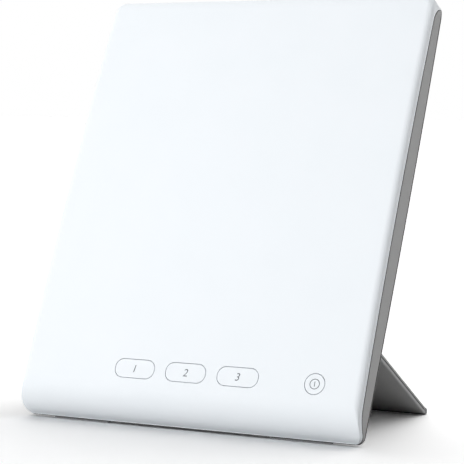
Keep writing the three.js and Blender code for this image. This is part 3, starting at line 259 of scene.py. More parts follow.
def new_material(name, color, roughness, tones=None, bumps=None, patches=None, **constants):
    """A material of one Principled shader, whose textures lie on Object coordinates in metres. The numbers
    in tones, bumps and patches go to mottle, grain and rough_patches."""
    material = bpy.data.materials.new(name)
    material.use_nodes = True
    tree = material.node_tree
    shader = tree.nodes["Principled BSDF"]
    shader.inputs["Base Color"].default_value = srgb(color)
    shader.inputs["Roughness"].default_value = roughness
    for key, value in constants.items():
        shader.inputs[key.replace("_", " ")].default_value = value
    place = add_node(tree, "ShaderNodeTexCoord").outputs["Object"]
    for texture, numbers in ((mottle, tones), (grain, bumps), (rough_patches, patches)):
        if numbers:
            texture(tree, shader, place, *numbers)
    material.diffuse_color = srgb(color)
    return material


def mottle(tree, shader, place, size_mm, dark, light, detail=2.0):
    """Base colour that drifts between two close tones, with soft patches of about size_mm."""
    noise = add_node(tree, "ShaderNodeTexNoise",
                     {"Vector": place, "Scale": 1000 / size_mm, "Detail": detail, "Roughness": 0.5})
    # A mix has sockets of three kinds under one name, so the colour ones, 6 and 7, are set by their place
    tones = add_node(tree, "ShaderNodeMix", {0: noise.outputs["Fac"], 6: srgb(dark), 7: srgb(light)},
                     data_type="RGBA")
    tree.links.new(tones.outputs[2], shader.inputs["Base Color"])


def grain(tree, shader, place, size_mm, height_mm, strength=1.0, detail=2.0):
    """A bump from noise with patches of about size_mm and a height of height_mm."""
    noise = add_node(tree, "ShaderNodeTexNoise",
                     {"Vector": place, "Scale": 1000 / size_mm, "Detail": detail, "Roughness": 0.55})
    bump = add_node(tree, "ShaderNodeBump",
                    {"Height": noise.outputs["Fac"], "Strength": strength, "Distance": height_mm / 1000})
    tree.links.new(bump.outputs["Normal"], shader.inputs["Normal"])


def rough_patches(tree, shader, place, size_mm, low, high, detail=3.0, fine=0.6, squeeze=None):
    """Roughness that drifts between two values, in round patches or, squeezed, in streaks."""
    if squeeze:
        place = add_node(tree, "ShaderNodeMapping", {"Vector": place, "Scale": squeeze}).outputs["Vector"]
    noise = add_node(tree, "ShaderNodeTexNoise",
                     {"Vector": place, "Scale": 1000 / size_mm, "Detail": detail, "Roughness": fine})
    spread = add_node(tree, "ShaderNodeMapRange",
                      {"Value": noise.outputs["Fac"], "From Min": 0.3, "From Max": 0.7,
                       "To Min": low, "To Max": high})
    tree.links.new(spread.outputs["Result"], shader.inputs["Roughness"])


# Opal acrylic (PMMA with a scattering pigment), moulded against polished steel: a cool white with a satin
# gloss, and faint waves, centimetres long, where the melt shrank over the ribs behind it
OPAL_ACRYLIC = new_material("opal_acrylic", "#eef3f7", 0.3, (45, "#edf2f6", "#f0f4f8", 1.0),
                            (28, 0.05, 0.5, 1.0), (60, 0.3, 0.38), IOR=1.49)
quarter = np.linspace(0, np.pi / 2, 11)
arc = np.linspace(0, np.pi / 2, 9)
core_half, core_low, core_high = HALF_WIDTH - CORNER, CORNER, HEIGHT - CORNER
inner_corner = CORNER - SIDE_ROUND
mirror = np.array([-1, 1])
band_low, band_high = KEY_UP - CELL_HALF_HEIGHT, KEY_UP + CELL_HALF_HEIGHT
turn_start = core_high - SEAM_TURN
side_heights = joined(
    np.linspace(core_low, band_low, LOW_ROWS)[1:-1],
    np.linspace(band_low, band_high, KEY_ROWS),
    np.linspace(band_high, turn_start, HIGH_ROWS)[1:-1],
    turn_start + SEAM_TURN * np.sin(arc)[:-1]
)
def side_of(heights):
    """Up one side and round its two corners: the places (x, height) of their centres, and the ways out."""
    centre_z = joined(core_low + 0 * arc, heights, core_high + 0 * arc)
    out = joined(coords(np.sin(arc), -np.cos(arc)), coords(1, 0 * heights),
                 coords(np.cos(arc), np.sin(arc)))
    return coords(core_half, centre_z), out


row_core, row_out = side_of(side_heights)
row_half, row_z = (row_core + inner_corner * row_out).T
flat_half = HALF_WIDTH - SIDE_ROUND
edges_x = [-flat_half, *[key["x"] + side * key["cell"] for key in KEYS for side in (-1, 1)], flat_half]
column_x = []
for i, (low, high) in enumerate(zip(edges_x, edges_x[1:])):
    if high - low > 0.01:
        steps = max(1, round((high - low) / (KEY_PITCH if i % 2 else SIDE_PITCH)))
        column_x.append(np.linspace(low, high, 1 + steps)[:-1])
column_x = np.append(np.concatenate(column_x), flat_half)
column_share = column_x / flat_half

plan = coords(column_share * row_half[:, None], row_z[:, None])
way_out = np.zeros_like(plan)
way_out[0], way_out[-1] = (0, -1), (0, 1)
way_out[:, -1], way_out[:, 0] = row_out, row_out * mirror


def border(grid):
    """The outermost entries of a grid, in order round it."""
    return joined(grid[0, :-1], grid[:-1, -1], grid[-1, :0:-1], grid[:0:-1, 0])


edge_plan, edge_out = border(plan), border(way_out)
rim_seam = seam_depth((edge_plan + SIDE_ROUND * edge_out)[:, 1])


def eased(spots, share):
    """Plan points drawn in at the two upper corners by a share. Seen from a corner's centre, TOP_CORNER in
    from both sides, a point's distance becomes (|x|^8 + |z|^8)^(1/8), so a square turns into a circle."""
    held = np.clip(spots, (TOP_CORNER - HALF_WIDTH, 0), (HALF_WIDTH - TOP_CORNER, HEIGHT - TOP_CORNER))
    away = spots - held
    round_size = np.linalg.norm(away, axis=-1, keepdims=True)
    square_size = (abs(away) ** CORNER_POWER).sum(axis=-1, keepdims=True) ** (1 / CORNER_POWER)
    return held + away * (1 + share * (square_size / np.maximum(round_size, 1e-9) - 1))


def closest(points, key, grow):
    """The nearest points of a key's outline: the points clipped to its core box, plus the corner radius and
    the growth in the direction from there."""
    centre, core = np.array([key["x"], key["up"]]), np.array(key["core"])
    held = np.clip(points - centre, -core, core)
    away = points - centre - held
    away = away / np.linalg.norm(away, axis=-1, keepdims=True)
    return centre + held + (key["corner"] + grow) * away


def on_front(spots, edge=0.0, wall=0.0, sink=0.0):
    """Plan points laid on the front, or on the inside of its wall."""
    return at_depth(spots, front_depth(spots[:, 1], edge, wall) + sink)


def turns(radius, first=0):
    """Steps over a quarter round, as (inset, drop): radius times 1 - sin t and 1 - cos t."""
    return [(radius * (1 - math.sin(t)), radius * (1 - math.cos(t))) for t in quarter[first::2]]


def cover_side(skin, wall, share):
    """One side of the cover's wall: numbers round its edge, and round each key's hole. The edge ring at turn
    t is inset by wall + r(1 - sin t) and set back by r(1 - cos t), r being what is left of the round. The
    upper corners are eased by a share, and by less of it towards the sides."""
    grid = skin.add(on_front(eased(plan.reshape(-1, 2), share), 0, wall).reshape(*plan.shape[:2], 3))
    keep = np.ones((plan.shape[0] - 1, plan.shape[1] - 1), bool)
    low, high = (np.argmin(abs(row_z - z)) for z in (band_low, band_high))
    holes = []
    for key in KEYS:
        left, right = (np.argmin(abs(column_x - key["x"] - side * key["cell"])) for side in (-1, 1))
        keep[low:high, left:right] = False
        cell = border(grid[low:high + 1, left:right + 1])
        spots = border(plan[low:high + 1, left:right + 1])
        lip = KEY_GAP + (0 if wall else HOLE_ROUND)
        rings = [on_front(spots + way * (closest(spots, key, lip) - spots), 0, wall) for way in WAYS_IN]
        if not wall:
            rings += [on_front(closest(spots, key, KEY_GAP + inset), sink=drop)
                      for inset, drop in turns(HOLE_ROUND, 2)]
        holes.append(skin.band(cell, *rings))
    skin.sew(grid, keep=keep)
    left_over = SIDE_ROUND - wall
    rings = []
    for t in quarter[1:]:
        spots = edge_plan + (left_over * math.sin(t)) * edge_out
        spots = eased(spots, share * (1 - SIDE_EASE * (1 - math.cos(t)) ** 2))
        ring = on_front(spots, left_over * (1 - math.cos(t)), wall)
        ring[:, 1] = np.minimum(ring[:, 1], seam_depth(ring[:, 2]) - SEAM_LAND - RIM_SHORT)
        rings.append(ring)
    return skin.band(border(grid), *rings), holes


def rim_ring(inset, forward):
    """A ring an inset in from the outside, and forward of the cover's rim, RIM_SHORT before the seam."""
    spots = eased(edge_plan + (SIDE_ROUND - inset) * edge_out, REAR_SHARE)
    return at_depth(spots, rim_seam - RIM_SHORT - forward)


def dress(piece, body, node=None):
    """The piece rides on a body and may take a node's place."""
    if node:
        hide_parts(node)
    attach(piece, body)


cover = Skin()
outer_edge, outer_holes = cover_side(cover, 0.0, 1.0)
inner_edge, inner_holes = cover_side(cover, COVER_WALL, INSIDE_SHARE)
rim = [rim_ring(drop, inset) for inset, drop in turns(RIM_ROUND)]
cover.band(outer_edge, *rim, rim_ring(COVER_WALL - RIM_ROUND, 0), rim_ring(COVER_WALL, RIM_ROUND), inner_edge)
for outer, inner in zip(outer_holes, inner_holes):
    cover.band(outer, inner)
dress(cover.make("cover", lean, OPAL_ACRYLIC), "panel", "front_cover")

# Keys: three oblong keys for light level, colour and timer, and a round on/off key. Each is a cap of the
# cover's own acrylic, flush with the front, with a flange behind the wall and a stem that presses its switch.
CAP_ROUND, CAP_MESH = 0.2, (14, 1.5)
FLANGE_GROW, FLANGE_FRONT, FLANGE_REAR = 1.5, 6.273, 7.473
STEM_RADIUS, STEM_END = 2.2, 11.073


def outline_of(x, z, wide, high, corner, grow=0.0, steps=8, pitch=6.0):
    """A rectangle of half sizes wide and high, grown all round: on each rounded corner its centre plus
    (corner + grow) in a turning direction, and even steps along the straight runs between."""
    centres = np.array([[x + sx * (wide - corner), z + sz * (high - corner)]
                        for sx, sz in ((1, 1), (-1, 1), (-1, -1), (1, -1))])
    loop = []
    for i, centre in enumerate(centres):
        run = centres[(i + 1) % 4] - centre
        length = np.abs(run).max()
        angle = i * np.pi / 2 + np.linspace(0, np.pi / 2, steps + 1)[:None if length > 1e-6 else -1]
        loop.append(centre + (corner + grow) * coords(np.cos(angle), np.sin(angle)))
        share = np.linspace(0, 1, 2 + int(length // pitch))[1:-1, None]
        if length > 1e-6:
            loop.append(loop[-1][-1] + share * run)
    return np.concatenate(loop)


def beyond(spots, x, z, wide, high, corner):
    """How far plan points lie outside such a rectangle: the length of what is past its core box."""
    past = np.abs(spots - (x, z)) - (wide - corner, high - corner)
    return np.linalg.norm(np.maximum(past, 0), axis=-1) + np.minimum(past.max(axis=-1), 0) - corner


def spread(low_x, high_x, low_z, high_z, pitch):
    """Plan points on a square grid, pitch apart."""
    rows = [np.linspace(low, high, 1 + max(1, round((high - low) / pitch)))
            for low, high in ((low_x, high_x), (low_z, high_z))]
    return coords(*np.meshgrid(*rows)).reshape(-1, 2)


def disc(x, z, radius):
    """A circle, said as a rectangle whose corners meet."""
    return x, z, radius, radius, radius


def within(shape, margin=0, *holes):
    """A measure for plates: how far plan points lie inside a shape less a margin, and outside each hole,
    given as (shape, margin)."""
    return lambda spots: np.minimum.reduce(
        [-margin - beyond(spots, *shape)] + [beyond(spots, *hole) - gap for hole, gap in holes])


for key in KEYS:
    x, up, (wide, high) = key["x"], key["up"], np.array(key["core"]) + key["corner"]
    shape = (x, up, wide, high, key["corner"])
    skin = Skin()
    rings = [on_front(outline_of(*shape, -inset, *CAP_MESH), sink=drop) for inset, drop in turns(CAP_ROUND)]
    full, neck, flange = (outline_of(*shape, grow, *CAP_MESH) for grow in (0, -FLANGE_GROW, FLANGE_GROW))
    rays = full - (x, up)
    stem = (x, KEY_UP) + STEM_RADIUS * rays / np.linalg.norm(rays, axis=-1, keepdims=True)
    rings += [on_front(full, 0, COVER_WALL), on_front(neck, 0, COVER_WALL), at_depth(neck, FLANGE_FRONT)]
    rings += [at_depth(flange, FLANGE_FRONT), at_depth(flange, FLANGE_REAR), at_depth(stem, FLANGE_REAR)]
    first, last = skin.tube(*rings, at_depth(stem, STEM_END))
    spots = spread(x - wide, x + wide, up - high, up + high, CAP_MESH[1])
    skin.plate([first], within(shape, CAP_ROUND), front_depth, spots)
    skin.plate([last], within(disc(x, KEY_UP, STEM_RADIUS)), STEM_END)
    dress(skin.make(f"{key['name']}_cap", lean, OPAL_ACRYLIC), key["name"], key["name"])

# Marks on the keys: pad-printed in thin grey ink, 0.04 mm thick. The oblong keys carry plain numbers, and the
# round one the general on/off sign, a ring with a bar in it.
PRINT_HIGH, NUMBER_SIZE, NUMBER_SLANT, NUMBER_THINNING = 0.04, 8.6, 0.18, -0.06
RING_RADIUS, RING_LINE, RING_STEPS, BAR_HALF_HEIGHT = 3.75, 0.55, 16, 2.0

# Pad-printing ink: a matt grey film with a slight unevenness from the pad
GREY_INK = new_material("grey_pad_ink", "#5c6166", 0.6, (1.5, "#575c61", "#62676c"))

def only_material(mesh, material):
    """Give the mesh this material and no other."""
    mesh.materials.clear()
    mesh.materials.append(material)


for number, key in enumerate(KEYS[:3], 1):
    text = bpy.data.curves.new(f"number_{number}", "FONT")
    text.body = str(number)
    text.size, text.shear, text.offset = NUMBER_SIZE, NUMBER_SLANT, NUMBER_THINNING
    text.align_x, text.align_y = "CENTER", "CENTER"
    text.extrude = PRINT_HIGH / 2
    holder = put_in(f"number_{number}_text", text)
    bpy.context.view_layer.update()
    mesh = bpy.data.meshes.new_from_object(holder.evaluated_get(bpy.context.evaluated_depsgraph_get()))
    bpy.data.objects.remove(holder)
    flat = np.empty(3 * len(mesh.vertices))
    mesh.vertices.foreach_get("co", flat)
    flat = flat.reshape(-1, 3)
    flat[:, :2] -= (flat[:, :2].max(axis=0) + flat[:, :2].min(axis=0)) / 2
    height = key["up"] + flat[:, 1]
    depth = front_depth(height) - flat[:, 2] - PRINT_HIGH / 2
    mesh.vertices.foreach_set("co", lean(coords(key["x"] + flat[:, 0], depth, height)).ravel())
    merge_doubles(mesh)
    only_material(mesh, GREY_INK)
    dress(put_in(f"number_{number}", mesh), key["name"])

power_x, power_up = KEYS[3]["x"], KEYS[3]["up"]
skin = Skin()
inner_radius, outer_radius = RING_RADIUS - RING_LINE / 2, RING_RADIUS + RING_LINE / 2
corners = ((inner_radius, 0), (outer_radius, 0), (outer_radius, PRINT_HIGH),
           (inner_radius, PRINT_HIGH))
numbers = [skin.add(on_front(outline_of(*disc(power_x, power_up, radius), 0, RING_STEPS), sink=-rise))
           for radius, rise in corners]
skin.band(*numbers, numbers[0])
bar = outline_of(power_x, power_up, RING_LINE / 2, BAR_HALF_HEIGHT, RING_LINE / 2 - 0.01)
skin.faces += [end[None] for end in skin.tube(on_front(bar), on_front(bar, sink=-PRINT_HIGH))]
dress(skin.make("on_off_sign", lean, GREY_INK), "power_key")

# Rear housing: the back of the lamp, an injection moulding in grey ABS with a spark-eroded, matt skin. It
# meets the cover at a seam round the sides. In it are a pocket for the folded flap with a scoop for a
# fingertip, wells for six screws, and a square well for the power socket.
SEAM_GAP, BACK_FILLET, FILLET_GROWTH = 0.8, 1.8, 0.35
LINE_WIDTH, LINE_DEPTH, LINE_SLANT, LINE_FADE, LINE_LEAST = 1.3, 1.0, 0.05, 6, 0.35
SIDE_SHARES = (0.35, 0.7, 1)
HOUSING_WALL, EDGE_ROUND = 2.0, 0.4
POCKET_HALF_WIDTH, POCKET_BOTTOM, POCKET_TOP = 142.5, 69.85, 200.9
POCKET_DEPTH = AXIS_DEPTH - FLAP_HALF - 0.55
FLOOR_FRONT = POCKET_DEPTH - HOUSING_WALL
SCOOP_HALF_WIDTH, SCOOP_REACH, SCOOP_CORNER = 28.0, 13.0, 6.0
SCOOP_DEPTH = POCKET_DEPTH - 1
STEP_LOW, STEP_HIGH = 219.0, 219.6
INNER_AT_ENDS, INNER_ABOVE = 26.3, 29.0
WELL_RADIUS, SCREW_HOLE, PILLAR_RADIUS, PILLAR_FRONT = 3.6, 1.5, 5.2, 19.862
SCREW_PLACES = [(x, z) for z in (22.5, 212.1, 355.8) for x in (-133.8, 133.8)]
INLET_X, INLET_UP, INLET_WELL, INLET_CORNER = -95.0, 34.0, 6.5, 0.8
INLET_SHELF, INLET_LEDGE = 22.81, 2.3
HINGE_X, EAR_MIDDLE, EAR_SLOT = 100.0, 9.3, (1.3, 2.7, 0.4)
BRACKET_SCREWS = [(side * HINGE_X + end * 5, 78.0) for side in (-1, 1) for end in (-1, 1)]
BRACKET_RECESS, BRACKET_HOLE, BRACKET_SEAT = 2.4, 1.25, 22.812
BACK_PITCH = 6

# Grey ABS out of a spark-eroded mould: a fine pebbled skin, grains about 0.4 mm across, that scatters light
# evenly and shows as a faint speckle. The bump is drawn a little coarse so that it shows.
GREY_ABS = new_material("spark_eroded_grey_abs", "#a6a6a6", 0.62, (0.9, "#9c9c9c", "#afafaf", 3.0),
                        (0.55, 0.045, 0.7, 3.0), IOR=1.53)

# Painted shade: a near-black colour, drifting faintly in tone, on the rim's face in the seam and on the floor
# of the groove along the back edge, where these gaps fall into shade, seen as two dark lines
PAINTED_SEAM_SHADE = new_material("painted_seam_shade", "#1b1b1c", 0.7, (1.0, "#171718", "#212122"))

housing_heights = np.unique(np.round(joined(
    BOTTOM_ROLL * (1 - np.cos(np.linspace(0, np.pi / 2, 19))), np.linspace(BOTTOM_ROLL, turn_start, 64),
    turn_start + SEAM_TURN * np.sin(quarter), [STEP_LOW, STEP_HIGH]
), 3))
housing_heights = housing_heights[abs(housing_heights - HEIGHT / 2) < HEIGHT / 2 - CORNER - 0.2]
across = np.linspace(-1, 1, 25)[1:-1]
half_core, half_out = side_of(housing_heights)
loop_core = joined(half_core, coords(-across * core_half, core_high), half_core[::-1] * mirror,
                   coords(across * core_half, core_low))
loop_out = joined(half_out, coords(0 * across, 1), half_out[::-1] * mirror, coords(0 * across, -1))


def housing_plan(inset, share=REAR_SHARE):
    """The housing's outline, an inset in from the outside, or an inset for each of its points."""
    return eased(loop_core + (CORNER - np.asarray(inset))[..., None] * loop_out, share)


loop_seam = seam_depth((loop_core + CORNER * loop_out)[:, 1]) + SEAM_GAP


def inner_depth(z):
    """Depth of the housing's inner face: the pocket's floor up to the step, and one wall elsewhere."""
    return np.interp(z, [0, 4, 12, STEP_LOW, STEP_HIGH, STEP_HIGH + 0.4, HEIGHT],
                     [INNER_AT_ENDS, INNER_AT_ENDS, FLOOR_FRONT, FLOOR_FRONT, INNER_ABOVE, INNER_ABOVE,
                      INNER_AT_ENDS])


def run(start, end, count):
    """Even steps from one plan point to another, without the last."""
    return np.array(start) + np.linspace(0, 1, count + 1)[:-1, None] * (np.array(end) - start)


def walk(*stops):
    """Even steps from stop to stop, without the last. A stop is (x, z, steps to the next)."""
    return np.concatenate([run(here[:2], there[:2], here[2]) for here, there in zip(stops, stops[1:])])


def pocket_path(grow):
    """Round the pocket, from the scoop's right side to its left."""
    wide, low, high = POCKET_HALF_WIDTH + grow, POCKET_BOTTOM - grow, POCKET_TOP + grow
    scoop = SCOOP_HALF_WIDTH + grow
    return np.append(walk((scoop, high, 12), (wide, high, 28), (wide, low, 30), (-wide, low, 28),
                          (-wide, high, 12), (-scoop, high, 0)), [(-scoop, high)], axis=0)


def scoop_path(side, grow=0.0):
    """The scoop's half above (side 1) or below (-1) the pocket's top, left to right, without its ends."""
    wide, corner = SCOOP_HALF_WIDTH - SCOOP_CORNER, SCOOP_CORNER + grow
    start = (SCOOP_HALF_WIDTH + grow, POCKET_TOP + side * grow)
    middle = POCKET_TOP + side * (SCOOP_REACH - SCOOP_CORNER)
    bend = coords(wide + corner * np.cos(arc), middle + side * corner * np.sin(arc))
    half = joined(run(start, bend[0], 2)[1:], bend,
                  run(bend[-1], (0, middle + side * corner), 6)[1:])
    return joined(half * mirror, [(0, middle + side * corner)], half[::-1])


PANEL = (0, HEIGHT / 2, HALF_WIDTH, HEIGHT / 2, CORNER)
POCKET = (0, (POCKET_BOTTOM + POCKET_TOP) / 2, POCKET_HALF_WIDTH, (POCKET_TOP - POCKET_BOTTOM) / 2, 0.01)
SCOOP = (0, POCKET_TOP, SCOOP_HALF_WIDTH, SCOOP_REACH, SCOOP_CORNER)
housing = Skin()


def rounded(shape_at, edge):
    """Rings over a rounded edge between the back face and a wall of the outline shape_at(growth)."""
    rings = [(shape_at(inset), drop) for inset, drop in turns(edge)]
    return [at_depth(ring, back(ring[:, 1]) - drop) for ring, drop in rings]


# Outside: the back's fillet, the groove, narrower where the side is, the side and the rim
outside = housing_plan(0)
edge_round = BACK_FILLET + FILLET_GROWTH * outside[:, 1] / HEIGHT
fillet = rounded(housing_plan, edge_round)
back_edge = housing.add(fillet[0])
line_top = back(outside[:, 1]) - edge_round
line_share = np.clip((line_top - loop_seam) / LINE_FADE, LINE_LEAST, 1)
line_end = line_top - LINE_WIDTH * line_share
line_floor = housing_plan(LINE_DEPTH * line_share)
side_rings = [at_depth(outside, line_end + share * (loop_seam + RIM_ROUND - line_end))
              for share in SIDE_SHARES]
rim = [at_depth(housing_plan(drop), loop_seam + inset) for inset, drop in turns(RIM_ROUND, 2)]
inside = housing_plan(HOUSING_WALL, REAR_INSIDE_SHARE)
last = housing.band(back_edge, *fillet[1:-1], at_depth(outside, line_top))
# The groove's floor is painted shade: it takes the second, near-black material
last = housing.band(last, at_depth(line_floor, line_top - LINE_SLANT * line_share),
                    at_depth(line_floor, line_end + LINE_SLANT * line_share), at_depth(outside, line_end),
                    mark=True)
last = housing.band(last, *side_rings, *rim)
# The rim's face in the seam is painted shade too: it takes the second, near-black material
last = housing.band(last, at_depth(inside, loop_seam), mark=True)
inner_loop = housing.band(last, at_depth(inside, inner_depth(inside[:, 1])))


def sunk(shape_at, *levels):
    """Rings down a well: its rounded edge on the back face, then a ring for each (growth, depth) given.
    The first is kept as a hole in the back, and the last is given back."""
    walls = [at_depth(shape_at(grow), depth) for grow, depth in levels]
    first, last = housing.tube(*rounded(shape_at, EDGE_ROUND), *walls)
    back_holes.append(first)
    return last


# Wells for the screws, each with its pillar inside, and the socket's well
back_holes, floor_holes, inner_holes = [], [], []
WELLS = [disc(x, z, WELL_RADIUS) for x, z in SCREW_PLACES]
WELLS.append((INLET_X, INLET_UP, INLET_WELL, INLET_WELL, INLET_CORNER))
hole, pillar = SCREW_HOLE - WELL_RADIUS, PILLAR_RADIUS - WELL_RADIUS
for shape in WELLS[:-1]:
    inner_holes.append(sunk(lambda grow: outline_of(*shape, grow, 10), (0, FLOOR_FRONT), (hole, FLOOR_FRONT),
                            (hole, PILLAR_FRONT), (pillar, PILLAR_FRONT), (pillar, inner_depth(shape[1]))))
inner_holes.append(sunk(lambda grow: outline_of(*WELLS[-1], grow, 5), (0, INLET_SHELF),
                        (INLET_LEDGE, INLET_SHELF), (INLET_LEDGE, FLOOR_FRONT)))

# The pocket and its scoop
wall_top = sunk(lambda grow: joined(pocket_path(grow), scoop_path(1, grow)))
pocket_count = len(pocket_path(0))
wall_low = housing.band(wall_top, at_depth(joined(pocket_path(0), scoop_path(1)), POCKET_DEPTH))
pocket_edge, scoop_above = wall_low[:pocket_count], wall_low[pocket_count:]
scoop_below = housing.add(at_depth(scoop_path(-1), POCKET_DEPTH))
scoop_loop = joined(pocket_edge[-1:], scoop_above, pocket_edge[:1], scoop_below[::-1])
scoop_floor = np.concatenate(housing.points)[scoop_loop]
scoop_floor[:, 1] = SCOOP_DEPTH
scoop_floor = housing.band(scoop_loop, scoop_floor)

# Slots in the pocket's floor for the ears of the hinge brackets, and their countersunk screw holes
SLOTS = [(side * HINGE_X + end * EAR_MIDDLE, HINGE_UP, *EAR_SLOT) for side in (-1, 1) for end in (-1, 1)]
def circles(x, z, *levels):
    """A circle about (x, z) for each (radius, depth)."""
    return [at_depth(outline_of(*disc(x, z, radius), 0, 8), depth) for radius, depth in levels]


floor_tubes = [[at_depth(outline_of(*shape, 0, 4), depth) for depth in (POCKET_DEPTH, FLOOR_FRONT)]
               for shape in SLOTS]
floor_tubes += [circles(x, z, (BRACKET_RECESS, POCKET_DEPTH), (BRACKET_RECESS, BRACKET_SEAT),
                        (BRACKET_HOLE, BRACKET_SEAT), (BRACKET_HOLE, FLOOR_FRONT)) for x, z in BRACKET_SCREWS]
for rings in floor_tubes:
    first, last = housing.tube(*rings)
    floor_holes.append(first)
    inner_holes.append(last)

# The flat faces: each keeps clear of its holes, and the back also of their rounded edges
recesses = [disc(x, z, BRACKET_RECESS) for x, z in BRACKET_SCREWS]
holes = [disc(x, z, BRACKET_HOLE) for x, z in BRACKET_SCREWS]
holes += [disc(x, z, PILLAR_RADIUS) for x, z in SCREW_PLACES]
everywhere = spread(-HALF_WIDTH, HALF_WIDTH, 0, HEIGHT, BACK_PITCH)
off_step = abs(everywhere[:, 1] - (STEP_LOW + STEP_HIGH) / 2) > 2
step_rows = np.concatenate([[(x, STEP_LOW), (x, STEP_HIGH)] for x in np.linspace(-140, 140, 40)])
in_back = within(PANEL, BACK_FILLET, *[(shape, EDGE_ROUND) for shape in (POCKET, SCOOP, *WELLS)])
in_floor = within(POCKET, 0, *[(shape, 0) for shape in (SCOOP, *SLOTS, *recesses)])
in_inner = within(PANEL, HOUSING_WALL, (WELLS[-1], INLET_LEDGE), *[(shape, 0) for shape in SLOTS + holes])
housing.plate([back_edge, *back_holes], in_back, back, everywhere)
housing.plate([joined(pocket_edge, scoop_below), *floor_holes], in_floor, POCKET_DEPTH, everywhere)
housing.plate([scoop_floor], within(SCOOP), SCOOP_DEPTH)
housing.plate([inner_loop, *inner_holes], in_inner, inner_depth,
              joined(everywhere[off_step], step_rows))
dress(housing.make("housing", lean, GREY_ABS, PAINTED_SEAM_SHADE), "panel", "rear_housing")

# Feet: two rubber pads bonded round the lower back edge of the housing, where the lamp stands on the table.
# The flap ends in a rubber strip of the same compound, moulded on, with a tongue between the shells.
PAD_RADIUS, PAD_INNER, PAD_FLAT = 2.85, 2.05, 0.25
PAD_X, PAD_HALF_LENGTH, PAD_START, PAD_TOP = 95.0, 25.0, 0.3, 6.0
FLAP_LENGTH, FLAP_HALF_WIDTH = 127.5, 142.0
FOOT_START, FOOT_FLAT, TONGUE_LENGTH, TONGUE_HALF = 123.0, 0.3, 4, 0.8
SLOPE = LEAN + math.radians(hinge["range_deg"][1] - 90)

# Soft vulcanised rubber: a mid grey, dull skin with a fine bloom, and a grain of about 0.5 mm
GREY_RUBBER = new_material("vulcanised_rubber", "#7d7d7f", 0.85, (2.5, "#757577", "#868688", 3.0),
                           (0.5, 0.05, 0.8, 2.0), IOR=1.52)


def fold(points):
    """Flap points in mm (x across, y through its thickness, z from hinge to foot) as places in metres."""
    x, through, along = np.moveaxis(np.asarray(points, float), -1, 0)
    return (turned(coords(x, along, through), SLOPE) + pivot) / 1000


def cut_arc(centre, radius, start, end, flat_way, flat):
    """An arc whose part beyond `flat` less than the radius, towards flat_way, is cut straight."""
    angle = np.linspace(start, end, 25)
    spread_angle = math.acos((radius - flat) / radius)
    angle = angle[abs(angle - flat_way) > spread_angle]
    angle = np.sort(np.append(angle, [flat_way - spread_angle, flat_way + spread_angle]))
    return np.array(centre) + radius * coords(np.cos(angle), np.sin(angle))


def bevelled(piece, width_mm):
    """Break the piece's edges with a narrow bevel."""
    bevel = piece.modifiers.new("broken edges", "BEVEL")
    bevel.width, bevel.segments, bevel.limit_method = width_mm / 1000, 2, "ANGLE"
    bevel.angle_limit = math.radians(40)


def rod(name, rows, place, material):
    """A piece of rings sewn one to the next, with both ends closed."""
    skin = Skin()
    numbers = skin.add(rows)
    skin.sew(numbers, around=True)
    skin.faces += [numbers[:1], numbers[-1:]]
    return skin.make(name, place, material)


def carried(name, section, low_x, high_x, place, body, node):
    """A closed section (depth, height) carried straight across in even steps."""
    stations = np.linspace(low_x, high_x, 1 + round((high_x - low_x) / 8))
    piece = rod(name, coords(stations[:, None], *section.T), place, GREY_RUBBER)
    bevelled(piece, 0.18)
    dress(piece, body, node)


pad_depth = back(0) - BACK_FILLET
pad_outside = cut_arc((pad_depth, BACK_FILLET), PAD_RADIUS, -np.pi / 2, 0, LEAN - np.pi / 2, PAD_FLAT)
inner_angle = np.linspace(0, -np.pi / 2, 13)
pad_inside = (pad_depth, BACK_FILLET) + PAD_INNER * coords(np.cos(inner_angle), np.sin(inner_angle))
pad_section = joined(
    [(pad_depth - PAD_START, BACK_FILLET - radius) for radius in (PAD_INNER, PAD_RADIUS)], pad_outside,
    [(pad_depth + radius, PAD_TOP) for radius in (PAD_RADIUS, PAD_INNER)], pad_inside)
for hand, middle in (("left", -PAD_X), ("right", PAD_X)):
    carried(f"foot_pad_{hand}", pad_section, middle - PAD_HALF_LENGTH, middle + PAD_HALF_LENGTH, lean,
            "panel", f"panel_foot_{hand}")
nose_centre = FLAP_LENGTH - FLAP_HALF
nose = cut_arc((nose_centre, 0), FLAP_HALF, -np.pi / 2, np.pi / 2, SLOPE - np.pi / 2, FOOT_FLAT)
tongue = [(FOOT_START - TONGUE_LENGTH, -TONGUE_HALF), (FOOT_START, -TONGUE_HALF),
          (FOOT_START, -FLAP_HALF)]
foot_section = joined(tongue, nose, np.array(tongue[::-1]) * (1, -1))[:, ::-1]
carried("flap_foot_strip", foot_section, -FLAP_HALF_WIDTH, FLAP_HALF_WIDTH, fold, "stand", "stand_foot_strip")

# Stand flap: two thin ABS shells screwed together from the inside, with a hollow between them. Their hinge
# edge is rounded to a barrel, and notched where the hinges sit. They are moulded like the housing.
SPLIT, SHELL_ROUND, FLAP_END = 0.6, 1.0, 122.7
BARREL = math.sqrt(FLAP_HALF ** 2 - SPLIT ** 2)
NOTCH_HALF, NOTCH_REACH, NOTCH_STEP = 10.9, 3.8, 1.9
HOLLOW, CEILING = (0, 63.25, 139.0, 56.45, 2.0), 1.35
STAND_SCREWS = [(x, y) for x in (-60.0, 60.0) for y in (28.0, 99.5)]
RECESS_MOUTH, RECESS, RECESS_EDGE, STAND_HOLE, BOSS = 2.6, 2.4, 0.2, 1.25, 3.2
SHELLS = [(1, "flap_outer_shell", "stand_outer_shell", []),
          (-1, "flap_inner_shell", "stand_inner_shell", STAND_SCREWS)]
barrel_steps = -BARREL * np.cos(arc)


